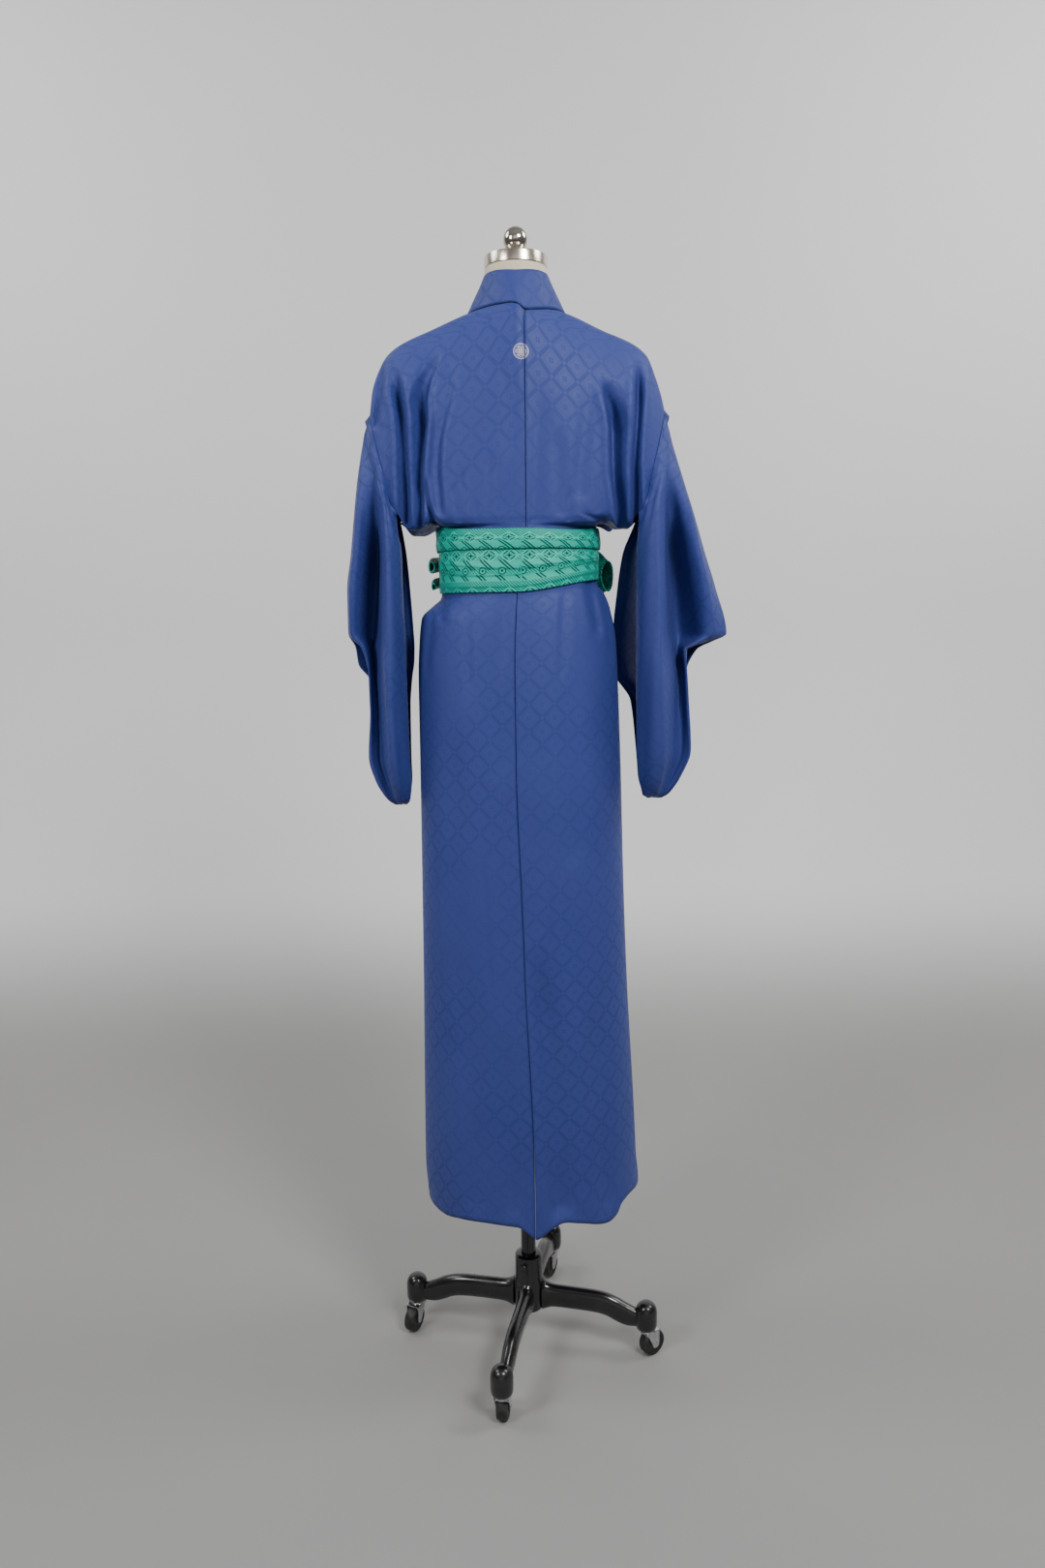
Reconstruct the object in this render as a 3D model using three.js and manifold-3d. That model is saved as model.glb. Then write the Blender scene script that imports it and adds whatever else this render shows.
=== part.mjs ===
// Silk kimono robe with its soft sash, worn on a limbless dress form that stands on a castered base.
// Millimetres, +Z up. The wearer's front faces -Y and the wearer's left is +X.
import * as THREE from 'three';
import { mergeVertices } from 'three/addons/utils/BufferGeometryUtils.js';
import Module from 'manifold-3d';

const wasm = await Module();
wasm.setup();

// Cloth walls and the gaps between pieces.
const SILK = 1.6;
const COLLAR_CLOTH = 2.4;
const SASH_CLOTH = 2.2;
const SEAM_GAP = 0.4;
const ARMHOLE_GAP = 1.1;
const LAP = 2.5;
const BLOUSE_SLOPE = 1.4;
const BAG_DROP = 16;

// Heights that divide the garment.
const HEM = 300;
const YOKE = 1500;
const NAPE_TURN = 63;
const POINT_TURN = 90;
const COLLAR_END = 1088;
const OKUMI_TOP = 1478;

// Shoulder arch above the yoke line.
const SHOULDER_SPREAD = 0.137;
const SHOULDER_RIDGE_Y = 5;
const NECK_ANGLE = 16.1;
const ARMHOLE_ANGLE = 55.1;
const BUST_HEIGHT = 1585;
const BUST_RISE = 10;
const SASH_TILT = 20;

// Level rings of the worn cloth: half widths to the wearer's left and right, depths to the back
// and front, the side seam's angle from the centre back, and the x of the centre-back seam.
const RINGS = [
  { z: 288, left: 174, right: 195, back: 150, front: 140, side: 98, spine: -12 },
  { z: 360, left: 178, right: 191, back: 148, front: 138, side: 98, spine: -12 },
  { z: 450, left: 177, right: 187, back: 145, front: 136, side: 99, spine: -11 },
  { z: 690, left: 173, right: 174, back: 137, front: 130, side: 101, spine: -2 },
  { z: 860, left: 171, right: 168, back: 131, front: 125, side: 103, spine: 3 },
  { z: 1060, left: 169, right: 163, back: 124, front: 120, side: 106, spine: 9 },
  { z: 1200, left: 168, right: 158, back: 119, front: 116, side: 108, spine: 9 },
  { z: 1255, left: 165, right: 155, back: 115, front: 113, side: 108, spine: 8 },
  { z: 1295, left: 160, right: 145, back: 110, front: 108, side: 107, spine: 6 },
  { z: 1316, left: 139, right: 134, back: 106, front: 104, side: 106, spine: 5 },
  { z: 1326, left: 128, right: 125, back: 103.5, front: 101.5, side: 104, spine: 4 },
  { z: 1336, left: 126.5, right: 123.5, back: 103, front: 101, side: 103, spine: 4 },
  { z: 1358, left: 126.5, right: 123.5, back: 103, front: 100.5, side: 100, spine: 0 },
  { z: 1428, left: 126.5, right: 123.5, back: 101, front: 99, side: 96, spine: -10 },
  { z: 1442, left: 128, right: 126, back: 98, front: 96, side: 84, spine: -11 },
  { z: 1448, left: 198, right: 196, back: 98, front: 97, side: 62, spine: -11 },
  { z: 1458, left: 230, right: 227, back: 99, front: 98, side: 55.1, spine: -11 },
  { z: 1476, left: 246, right: 242, back: 99, front: 99, side: 55.1, spine: -11 },
  { z: 1500, left: 250, right: 248, back: 99, front: 100, side: 55.1, spine: -11 },
];

// Height of the shoulder line over each distance from the centre, with the two slopes,
// and how boxy the arch from back to front is there.
const SHOULDER = [
  { x: 0, left: 1786, right: 1786, arch: 0.25 },
  { x: 50, left: 1764, right: 1763, arch: 0.45 },
  { x: 79, left: 1756.5, right: 1755.5, arch: 0.6 },
  { x: 135, left: 1735.5, right: 1732, arch: 0.78 },
  { x: 178, left: 1718, right: 1714.5, arch: 0.87 },
  { x: 202, left: 1701, right: 1696, arch: 0.9 },
  { x: 217, left: 1677, right: 1662, arch: 0.95 },
  { x: 227, left: 1650, right: 1631, arch: 1 },
  { x: 234, left: 1604, right: 1600, arch: 1 },
  { x: 245, left: 1545, right: 1560, arch: 1 },
];

// Hem height over each x on the back half.
const HEM_LINE = [
  { x: -196, z: 317 },
  { x: -176, z: 322 },
  { x: -160, z: 316 },
  { x: -150, z: 300 },
  { x: -136, z: 293 },
  { x: -86, z: 307 },
  { x: -59, z: 313 },
  { x: -41, z: 305 },
  { x: -14, z: 288 },
  { x: 2, z: 300 },
  { x: 17, z: 310 },
  { x: 60, z: 312 },
  { x: 114, z: 306 },
  { x: 140, z: 300 },
  { x: 174, z: 299 },
];

// Front panels: angles from the centre back of the okumi seam, of the edge that the collar
// is sewn to, and of the free edge.
const FRONT = [
  { z: 288, okumi: 184, edge: 235, free: 235 },
  { z: 700, okumi: 190, edge: 241, free: 241 },
  { z: 955, okumi: 198, edge: 246, free: 246 },
  { z: 1088, okumi: 203, edge: 248.5, free: 249 },
  { z: 1150, okumi: 206, edge: 232, free: 250 },
  { z: 1200, okumi: 208, edge: 229, free: 250 },
  { z: 1300, okumi: 210, edge: 226, free: 250 },
  { z: 1362, okumi: 210, edge: 221, free: 250 },
  { z: 1430, okumi: 208, edge: 216, free: 248 },
  { z: 1442, okumi: 207, edge: 214, free: 246 },
  { z: 1448, okumi: 201, edge: 206, free: 228 },
  { z: 1458, okumi: 199, edge: 202, free: 223 },
  { z: 1478, okumi: 197.8, edge: 198.4, free: 218 },
  { z: 1500, okumi: 196.5, edge: 196.5, free: 213.5 },
];

// The neckline seam above the yoke, by turn over the shoulder: its angle from the centre back.
const NECKLINE = [
  { turn: 90, angle: 163.9 },
  { turn: 105, angle: 164.8 },
  { turn: 120, angle: 166.8 },
  { turn: 135, angle: 171 },
  { turn: 154.5, angle: 180 },
  { turn: 165, angle: 186.5 },
  { turn: 180, angle: 196.5 },
];

// The collar's free edge round the neck, by the same turn.
const COLLAR_RIM = [
  { turn: 63, x: 0, y: 62, z: 1810 },
  { turn: 66, x: 14, y: 60.5, z: 1811 },
  { turn: 72, x: 33, y: 50, z: 1812.5 },
  { turn: 81, x: 47, y: 28, z: 1813 },
  { turn: 90, x: 52.5, y: 3, z: 1809 },
  { turn: 100, x: 54, y: -20, z: 1799 },
  { turn: 112, x: 47, y: -47, z: 1785 },
  { turn: 125, x: 25, y: -78, z: 1753 },
  { turn: 140, x: -14, y: -97, z: 1711 },
  { turn: 154.5, x: -50, y: -104, z: 1655 },
  { turn: 165, x: -82, y: -96, z: 1605 },
  { turn: 172.5, x: -108, y: -92, z: 1558 },
  { turn: 180, x: -138, y: -83, z: 1500 },
];

// Largest folds of the back, from top to bottom: x, half width and depth of each trough.
const BACK_FOLDS = [
  { top: 1715, foot: 1452, xTop: 116, xFoot: 151, half: 14, depth: 12 },
  { top: 1690, foot: 1452, xTop: 186, xFoot: 178, half: 9, depth: 9 },
  { top: 1672, foot: 1462, xTop: 97, xFoot: 108, half: 12, depth: 3 },
  { top: 1665, foot: 1452, xTop: -124, xFoot: -151, half: 14, depth: 14 },
  { top: 1695, foot: 1452, xTop: -179, xFoot: -181, half: 9, depth: 9 },
  { top: 1640, foot: 1530, xTop: -98, xFoot: -99, half: 12, depth: 4 },
  { top: 800, foot: 288, xTop: -15, xFoot: -56, half: 20, depth: 8 },
  { top: 1345, foot: 1262, xTop: -106, xFoot: -124, half: 10, depth: 7 },
  { top: 1340, foot: 1286, xTop: 120, xFoot: 127, half: 9, depth: 4 },
];

// Sleeve sections at falling heights. Back layer from the inner edge outwards: inner edge,
// roll, bulge, valley, ridge and outer edge; then the front layer's cuff edge, depth and inner edge.
const SLEEVE_COLUMNS = ['z', 'ix', 'iy', 'rx', 'ry', 'bx', 'by', 'vx', 'vy', 'gx', 'gy', 'ex', 'ey',
  'cx', 'cy', 'depth', 'fx', 'fy'];
const named = (names, rows) => rows.map((row) => Object.fromEntries(names.map((name, i) => [name, row[i]])));
const SLEEVE_LEFT = named(SLEEVE_COLUMNS, [
  [1604, 231, 12, 232, 12, 233, 11, 234, 9, 235.5, 4, 236, 0, 236, 0, 12, 231, -12],
  [1575, 227, 36, 230, 33, 233, 28, 236, 20, 243, 9, 244.5, 0, 244.5, 0, 31, 227, -36],
  [1508, 207, 56, 212, 61, 217, 58, 223, 47, 246, 40, 257, 2, 257, 2, 56, 207, -56],
  [1452, 191, 54, 198, 64, 205, 74, 226, 30, 252, 48, 264, 4, 264, 4, 62, 197, -57],
  [1395, 192, 18, 186, 50, 205, 78, 229, -8, 258, 48, 271, 4, 271, 4, 64, 188, -52],
  [1340, 196, 8, 186, 46, 206, 80, 235, -16, 265, 46, 279, 2, 279, 2, 64, 184, -54],
  [1272, 196, 4, 186, 42, 207, 80, 241, -18, 268, 32, 280, 0, 280, 0, 60, 180, -54],
  [1250, 196, 4, 186, 41, 207, 79, 242, -14, 252, 28, 257, 24, 271, -10, 58, 179, -54],
  [1222, 196, 3, 186, 40, 208, 78, 240, -6, 246, 24, 249, 18, 268, -14, 56, 180, -54],
  [1195, 196, 3, 186, 38, 208, 76, 238, 0, 245, 20, 247, 0, 247, 0, 52, 184, -48],
  [1150, 196, 4, 186, 34, 208, 70, 236, 4, 245, 20, 247, 0, 247, 0, 46, 187, -34],
  [1070, 195, 8, 185, 28, 206, 58, 236, 8, 249, 20, 252, 0, 252, 0, 38, 187, -24],
  [1030, 193, 8, 184, 22, 204, 46, 226, 10, 239, 18, 242, 0, 242, 0, 32, 186, -18],
  [1004, 190, 6, 187, 15, 202, 30, 216, 12, 226, 13, 228, 0, 228, 0, 22, 189, -10],
  [994, 191, 3, 190, 9, 202, 17, 211, 9, 218, 8, 220, 0, 220, 0, 12, 191, -5],
  [989, 193, 1, 195, 1, 201, 1, 207, 1, 211, 1, 213, 0, 213, 0, 0, 193, 1],
]);
const SLEEVE_RIGHT = named(SLEEVE_COLUMNS, [
  [1602, 229, 12, 230, 12, 231, 11, 232, 9, 233, 4, 233.5, 0, 233.5, 0, 12, 229, -12],
  [1575, 226, 36, 230, 33, 234, 28, 237, 20, 240, 9, 241, 0, 241, 0, 29, 226, -36],
  [1508, 205, 56, 212, 62, 222, 62, 234, 49, 250, 42, 262, 2, 262, 2, 56, 205, -56],
  [1452, 187, 54, 197, 65, 212, 78, 240, 30, 266, 48, 280, 4, 280, 4, 62, 194, -58],
  [1395, 190, 18, 186, 50, 212, 82, 246, -8, 280, 46, 297, 4, 297, 4, 64, 172, -66],
  [1340, 196, 8, 186, 46, 214, 84, 252, -16, 294, 42, 315, 2, 315, 2, 66, 164, -72],
  [1263, 196, 4, 186, 44, 216, 84, 259, -20, 305, 28, 335, 0, 335, 0, 64, 157, -74],
  [1254, 196, 4, 186, 44, 216, 84, 260, -18, 290, 26, 306, 14, 318, -8, 63, 157, -74],
  [1240, 196, 4, 186, 44, 216, 84, 258, -14, 264, 30, 268, 20, 290, -12, 62, 157, -74],
  [1200, 196, 3, 186, 42, 218, 82, 260, -4, 268, 22, 270, 0, 270, 0, 58, 158, -70],
  [1155, 197, 4, 187, 38, 220, 76, 260, 2, 270, 22, 273, 0, 273, 0, 50, 184, -40],
  [1075, 198, 8, 189, 30, 222, 62, 260, 8, 274, 20, 277, 0, 277, 0, 40, 192, -24],
  [1035, 199, 8, 192, 24, 220, 48, 248, 10, 260, 18, 263, 0, 263, 0, 34, 195, -18],
  [1010, 202, 6, 199, 16, 218, 32, 236, 12, 246, 13, 248, 0, 248, 0, 23, 200, -10],
  [1000, 202, 3, 202, 9, 218, 18, 230, 9, 238, 8, 240, 0, 240, 0, 12, 202, -5],
  [995, 208, 1, 211, 1, 218, 1, 225, 1, 230, 1, 232, 0, 232, 0, 0, 208, 1],
]);
const SLEEVE_TOP_TURN = 72;
const ARMHOLE_FOOT = 1458;
const SLEEVE_CELLS = 10;
const SLEEVE_STEP = 70;
const SLEEVE_LEAD = 4;
// Rows of each sleeve table between which the cuff stands open.
const CUFF_LEFT = { from: 6, to: 9 };
const CUFF_RIGHT = { from: 6, to: 9 };

// The two turns of the sash that show, outer face by height like the rings of the cloth.
const SASH_LOWER = [
  { z: 1334, left: 129.8, right: 126.8, back: 106.5, front: 104.5 },
  { z: 1346, left: 131.8, right: 129, back: 108.5, front: 106.5 },
  { z: 1358, left: 130, right: 127.3, back: 106.6, front: 104.6 },
  { z: 1374, left: 132.5, right: 129.5, back: 109, front: 107 },
  { z: 1390, left: 130.5, right: 127.5, back: 106.4, front: 104.4 },
  { z: 1402, left: 129.8, right: 126.8, back: 105.2, front: 103.2 },
];
const SASH_UPPER = [
  { z: 1399, left: 133.1, right: 130, back: 109.3, front: 107.3 },
  { z: 1410, left: 135.5, right: 132, back: 111, front: 109 },
  { z: 1421, left: 133.6, right: 130, back: 109, front: 107 },
  { z: 1431, left: 135, right: 129, back: 108, front: 106 },
  { z: 1437, left: 133, right: 127.5, back: 105.5, front: 103.5 },
];
const SASH_SIDES = 40;

// Rolled loops of the bow, lying on the sash: angles from the centre back where they start at
// the knot and end open, heights of their middle, and half sizes across and up at both ends.
const LOOPS = named(['name', 'side', 'from', 'to', 'zFrom', 'zTo', 'out', 'up'], [
  ['sash_loop_right', -1, 165, 108, 1382, 1360, [8, 20], [20, 45]],
  ['sash_roll_left_upper', 1, 165, 82, 1390, 1376, [7, 9], [9, 15]],
  ['sash_roll_left_lower', 1, 165, 84, 1366, 1345, [6, 6.4], [8, 10]],
]);
const BOW_BASE = { left: 133.4, right: 129.9, front: 107.8 };
const KNOT = { z: 1378, wide: 27, deep: 15, tall: 26 };
const TAILS = [
  { name: 'sash_tail_long', middle: 171, top: 1350, foot: 1130, half: 28, lift: 5.4 },
  { name: 'sash_tail_short', middle: 196, top: 1350, foot: 1178, half: 26, lift: 5 },
];

// Level sections of the dress form's body.
const TORSO = [
  { z: 1040, half: 140, back: 97, front: 94, square: 1 },
  { z: 1150, half: 151, back: 108, front: 104, square: 1 },
  { z: 1225, half: 149, back: 105, front: 102, square: 1 },
  { z: 1285, half: 137, back: 98, front: 96, square: 1 },
  { z: 1340, half: 113, back: 90, front: 87, square: 1 },
  { z: 1440, half: 110, back: 87, front: 84, square: 1 },
  { z: 1490, half: 127, back: 91, front: 87, square: 1 },
  { z: 1540, half: 147, back: 94, front: 91, square: 1 },
  { z: 1590, half: 164, back: 93, front: 92, square: 1 },
  { z: 1640, half: 177, back: 89.5, front: 86, square: 1.02 },
  { z: 1668, half: 183, back: 85, front: 78, square: 1.08 },
  { z: 1687, half: 184, back: 81.5, front: 71, square: 1.2 },
  { z: 1701, half: 177.5, back: 78, front: 66, square: 1.3 },
  { z: 1712, half: 161, back: 75.5, front: 61, square: 1.4 },
  { z: 1722, half: 138.5, back: 70, front: 57, square: 1.45 },
  { z: 1733, half: 111, back: 65, front: 54, square: 1.45 },
  { z: 1746, half: 75, back: 57, front: 52, square: 1.15 },
];
const TORSO_SIDES = 28;
const NECK_FOOT = 1746.3;
const NECK_TOP = 1828;
const CAP_HEIGHT = 17;
const CAP_RADIUS = 49;
const FINIAL_RADIUS = 19.5;
const FINIAL_MIDDLE = 1870.5;
const SOCKET_TOP = 1150;

// Castered base.
const POLE_RADIUS = 13;
const POLE_FOOT = 78;
const HUB = { foot: 68, top: 172, radius: 24, belly: 27 };
const FIT = 0.3;
const CLAMP = { angle: 72, z: 158, radius: 3.6, head: 6, reach: 31 };
const ARM_REACH = 211;
const ARM_SECTIONS = [
  { r: 25, top: 124, foot: 70, half: 15 },
  { r: 46, top: 115, foot: 77, half: 12 },
  { r: 118, top: 114, foot: 76, half: 12 },
  { r: 146, top: 109.5, foot: 71, half: 12 },
  { r: 178, top: 95, foot: 57, half: 11 },
  { r: 198, top: 86, foot: 58, half: 10 },
];
const KNOB = { radius: 19, foot: 54, shoulder: 83, top: 103 };
const STEM_RADIUS = 4.5;
const STEM_TOP = 84;
const WHEEL = { radius: 23, half: 10, bore: 3.6, sides: 14, trail: 13 };
const FORK = { radius: 13, top: 53.7, deck: 48, plate: 1.8, inside: 10.6 };
const ARMS = [
  { name: 'back', angle: 77.4, heading: 262 },
  { name: 'right', angle: 167.4, heading: 215 },
  { name: 'front', angle: 257.4, heading: 60 },
  { name: 'left', angle: 347.4, heading: 65 },
];

const radians = (degrees) => degrees * Math.PI / 180;
const mix = (a, b, share) => a + (b - a) * share;
const clamp = (value, low, high) => Math.min(high, Math.max(low, value));

function ease(low, high, value) {
  const share = clamp((value - low) / (high - low), 0, 1);
  return share * share * (3 - 2 * share);
}

// Smooth curve through one column of a table, without overshoot between its rows.
function column(table, key, name) {
  const at = table.map((row) => row[key]);
  const values = table.map((row) => row[name]);
  const rising = at[1] > at[0];
  if (!rising) {
    at.reverse();
    values.reverse();
  }
  const slopes = at.slice(1).map((x, i) => (values[i + 1] - values[i]) / (x - at[i]));
  const tangents = values.map((_, i) => {
    if (i === 0) return slopes[0];
    if (i === slopes.length) return slopes[i - 1];
    const product = slopes[i - 1] * slopes[i];
    return product <= 0 ? 0 : 2 * product / (slopes[i - 1] + slopes[i]);
  });
  return (position) => {
    const x = clamp(position, at[0], at[at.length - 1]);
    let i = 0;
    while (i < at.length - 2 && x > at[i + 1]) i += 1;
    const step = at[i + 1] - at[i];
    const t = (x - at[i]) / step;
    const t2 = t * t;
    const t3 = t2 * t;
    return values[i] * (2 * t3 - 3 * t2 + 1) + tangents[i] * step * (t3 - 2 * t2 + t)
      + values[i + 1] * (3 * t2 - 2 * t3) + tangents[i + 1] * step * (t3 - t2);
  };
}

function columns(table, key) {
  const names = Object.keys(table[0]).filter((name) => name !== key);
  return Object.fromEntries(names.map((name) => [name, column(table, key, name)]));
}

const ring = columns(RINGS, 'z');
const shoulder = columns(SHOULDER, 'x');
const hemLine = column(HEM_LINE, 'x', 'z');
const front = columns(FRONT, 'z');
const neckline = column(NECKLINE, 'turn', 'angle');
const rim = columns(COLLAR_RIM, 'turn');

// Depth of the back's folds at a place.
function foldDepth(x, z) {
  let depth = 0;
  for (const fold of BACK_FOLDS) {
    const along = (fold.top - z) / (fold.top - fold.foot);
    if (along <= 0) continue;
    const middle = mix(fold.xTop, fold.xFoot, Math.min(along, 1));
    const grown = ease(0, 0.3, along) * (1 - ease(0.9, 1, along));
    const off = (x - middle) / fold.half;
    depth += fold.depth * grown * Math.exp(-off * off);
  }
  return depth;
}

// Angle shares of a ring or arch point.
function turnOf(side, angle) {
  const sine = Math.sin(radians(angle));
  const cosine = Math.cos(radians(angle));
  const near = (side > 0) === (sine >= 0) ? 'left' : 'right';
  return { sine, cosine, near };
}

// A point of the worn cloth below the yoke, by height and angle from the centre back.
function ringPoint(side, z, angle, lift) {
  const { sine, cosine, near } = turnOf(side, angle);
  const hem = mix(hemLine(side * sine * ring[near](z)), HEM, ease(0, 0.5, -cosine));
  const height = z + (hem - 288) * (1 - ease(288, 380, z));
  const x = side * sine * (ring[near](z) + lift);
  const depth = cosine >= 0 ? ring.back(z) : ring.front(z);
  const fold = cosine > 0 ? foldDepth(x, z) * ease(0, 0.25, cosine) : 0;
  const shelf = ease(1432, 1442, z) * (1 - ease(1458, 1480, z));
  const tilted = height + sashTilt(x, z) - bagDrop(x, z) - lift * shelf * BLOUSE_SLOPE;
  return new THREE.Vector3(x, cosine * (depth + lift) - fold, tilted);
}

// Rise of the waist at the sash's lower edge towards the wearer's right.
function sashTilt(x, z) {
  return SASH_TILT * ease(10, -150, x) * ease(1240, 1326, z) * ease(1410, 1345, z);
}

// How far the blouse's loose cloth hangs down at both sides of the sash.
function bagDrop(x, z) {
  const across = ease(125, 160, Math.abs(x)) * (1 - ease(174, 192, Math.abs(x)));
  return BAG_DROP * across * ease(1442, 1448, z) * (1 - ease(1450, 1490, z));
}

// A point of the arch over the shoulder, by turn (0 at the back yoke, 180 at the front yoke).
function archPoint(side, turn, angle, lift) {
  const { sine, cosine, near } = turnOf(side, angle);
  const rise = Math.sin(radians(turn));
  const wide = sine * ring[near](YOKE);
  const reach = wide * (1 + SHOULDER_SPREAD * rise);
  const distance = Math.abs(wide) * (1 + SHOULDER_SPREAD);
  const top = shoulder[near](distance);
  const z = YOKE + (top + lift - YOKE) * rise;
  const behind = turn <= 90;
  const edge = (behind ? ring.back(YOKE) : -ring.front(YOKE)) * Math.abs(cosine);
  const share = Math.abs(Math.cos(radians(turn))) ** shoulder.arch(distance);
  const fold = behind ? foldDepth(side * reach, z) * (1 - ease(60, 88, turn)) : 0;
  const bust = behind ? 0 : bustRise(distance, z) * share;
  const y = SHOULDER_RIDGE_Y * (1 - share) + edge * share;
  const lifted = (behind ? 1 : -1) * lift * share;
  return new THREE.Vector3(side * reach, y + lifted - fold - bust, z);
}

function bustRise(distance, z) {
  const across = (distance - 72) / 62;
  const up = (z - BUST_HEIGHT) / 62;
  return BUST_RISE * Math.exp(-across * across - up * up) * ease(YOKE, YOKE + 30, z);
}

// The cloth by one running station: 0 to 1 up the back, 1 to 2 over the shoulder, 2 to 3 down the front.
function skin(side, station, angle, lift) {
  if (station < 1) return ringPoint(side, mix(288, YOKE, station), angle, lift);
  if (station > 2) return ringPoint(side, mix(YOKE, 288, station - 2), angle, lift);
  return archPoint(side, (station - 1) * 180, angle, lift);
}

const backStation = (z) => (z - 288) / (YOKE - 288);
const frontStation = (z) => 2 + (YOKE - z) / (YOKE - 288);
const heightAt = (station) => (station < 1 ? mix(288, YOKE, station) : mix(YOKE, 288, station - 2));

// The left front laps over the right front.
function lapLift(side, station, angle) {
  const down = station < 2 ? ease(1.5, 1.68, station) : 1;
  const round = station < 2 ? 1 : ease(99, 117, angle);
  return side * LAP * down * round;
}

// Gap between two sewn pieces as an angle on the rings.
const gapAngle = SEAM_GAP / 2 / 110 * 180 / Math.PI;

function spineAngle(side, station) {
  const z = station < 1 ? heightAt(station) : YOKE;
  const spine = ring.spine(z);
  const wide = ring[spine > 0 ? 'left' : 'right'](z);
  return Math.asin(side * spine / wide) * 180 / Math.PI;
}

function innerAngle(side, station) {
  const seam = gapAngle;
  if (station < 1) return spineAngle(side, station) + seam;
  const turn = (station - 1) * 180;
  if (turn <= NAPE_TURN) return spineAngle(side, station) + seam;
  if (turn <= POINT_TURN) {
    const share = ((turn - NAPE_TURN) / (POINT_TURN - NAPE_TURN)) ** 0.75;
    return mix(spineAngle(side, station), NECK_ANGLE, share) + seam;
  }
  if (station <= 2) return neckline(turn) - seam;
  const z = heightAt(station);
  return front.okumi(z) - seam;
}

function outerAngle(station) {
  if (station >= 1 && station <= 1.5) return ARMHOLE_ANGLE;
  if (station > 1.5 && station <= 2) return 180 - ARMHOLE_ANGLE;
  const z = heightAt(station);
  const angle = ring.side(z);
  if (station < 1) return angle - gapAngle;
  return z > 1362 ? mix(angle, 180 - angle, ease(1430, 1458, z)) + gapAngle : angle + gapAngle;
}

// Closed solid from corner points and faces, turned to face outwards.
function solid(points, faces) {
  const positions = new Float32Array(points.length * 3);
  points.forEach((point, i) => point.toArray(positions, i * 3));
  let volume = 0;
  for (const [a, b, c] of faces) {
    volume += points[a].dot(new THREE.Vector3().crossVectors(points[b], points[c]));
  }
  const ordered = volume >= 0 ? faces : faces.map(([a, b, c]) => [a, c, b]);
  const geometry = new THREE.BufferGeometry();
  geometry.setAttribute('position', new THREE.BufferAttribute(positions, 3));
  geometry.setIndex(ordered.flat());
  return geometry;
}

// Thickens a sheet of four-cornered cells inwards and closes its edges.
function thicken(points, normals, cells, thickness) {
  const count = points.length;
  const inner = points.map((point, i) => point.clone().addScaledVector(normals[i], -thickness));
  const faces = [];
  const edges = new Map();
  for (const cell of cells) {
    const [a, b, c, d] = cell;
    faces.push([a, b, c], [a, c, d], [count + a, count + c, count + b], [count + a, count + d, count + c]);
    cell.forEach((from, i) => {
      const to = cell[(i + 1) % cell.length];
      if (!edges.delete(`${to},${from}`)) edges.set(`${from},${to}`, [from, to]);
    });
  }
  for (const [from, to] of edges.values()) {
    faces.push([to, from, count + from], [to, count + from, count + to]);
  }
  const kept = faces.filter(([a, b, c]) => a !== b && b !== c && c !== a);
  return solid([...points, ...inner], kept);
}

// Normal of a surface given by a function of two shares.
function normalOf(surface, u, v) {
  const step = 0.0008;
  const along = surface(Math.min(1, u + step), v).sub(surface(Math.max(0, u - step), v));
  const across = surface(u, Math.min(1, v + step)).sub(surface(u, Math.max(0, v - step)));
  return along.cross(across).normalize();
}

// A cloth panel: a wall laid inside a surface at given shares along and across.
function panel(surface, rows, cols, thickness, facing) {
  const points = [];
  const normals = [];
  const cells = [];
  const wide = cols.length;
  rows.forEach((u, i) => cols.forEach((v, j) => {
    points.push(surface(u, v));
    normals.push(normalOf(surface, u, v).multiplyScalar(facing));
    if (i > 0 && j > 0) {
      const corner = i * wide + j;
      cells.push([corner - wide - 1, corner - wide, corner, corner - 1]);
    }
  }));
  return thicken(points, normals, cells, thickness);
}

const steps = (count) => Array.from({ length: count + 1 }, (_, i) => i / count);

// Columns drawn closer together towards the sleeve, where the shoulder turns down.
const bodyColumns = steps(11).map((share) => Math.sin(share * 1.15) / Math.sin(1.15));

const ringHeights = [288, 340, 450, 640, 860, COLLAR_END, 1150, 1215, 1265, 1298, 1316,
  1326, 1336, 1358, 1428, 1442, 1448, 1458, 1478];
const risingTurns = [0, 13, 26, 38, 48, 56, NAPE_TURN, SLEEVE_TOP_TURN, 81];
const archTurns = [...risingTurns, POINT_TURN, ...risingTurns.map((turn) => 180 - turn).reverse()];
const bodyStations = [
  ...ringHeights.map(backStation),
  ...archTurns.map((turn) => 1 + turn / 180),
  ...ringHeights.slice().reverse().map(frontStation),
];

function bodySurface(side) {
  return (u, v) => {
    const station = u * 3;
    const angle = mix(innerAngle(side, station), outerAngle(station), v);
    return skin(side, station, angle, lapLift(side, station, angle));
  };
}

function bodyPanel(side) {
  const rows = bodyStations.map((station) => station / 3);
  return panel(bodySurface(side), rows, bodyColumns, SILK, side);
}

// The front overlap panel, from the hem up to its point.
function okumiPanel(side) {
  const surface = (u, v) => {
    const z = mix(288, OKUMI_TOP, u);
    const start = front.okumi(z) + gapAngle;
    const end = front.edge(z) - (z > COLLAR_END ? gapAngle : 0);
    const angle = mix(start, end, v);
    return ringPoint(side, z, angle, lapLift(side, frontStation(z), angle));
  };
  const rows = ringHeights.map((z) => (z - 288) / (OKUMI_TOP - 288));
  return panel(surface, rows, steps(4), SILK, side);
}

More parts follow.
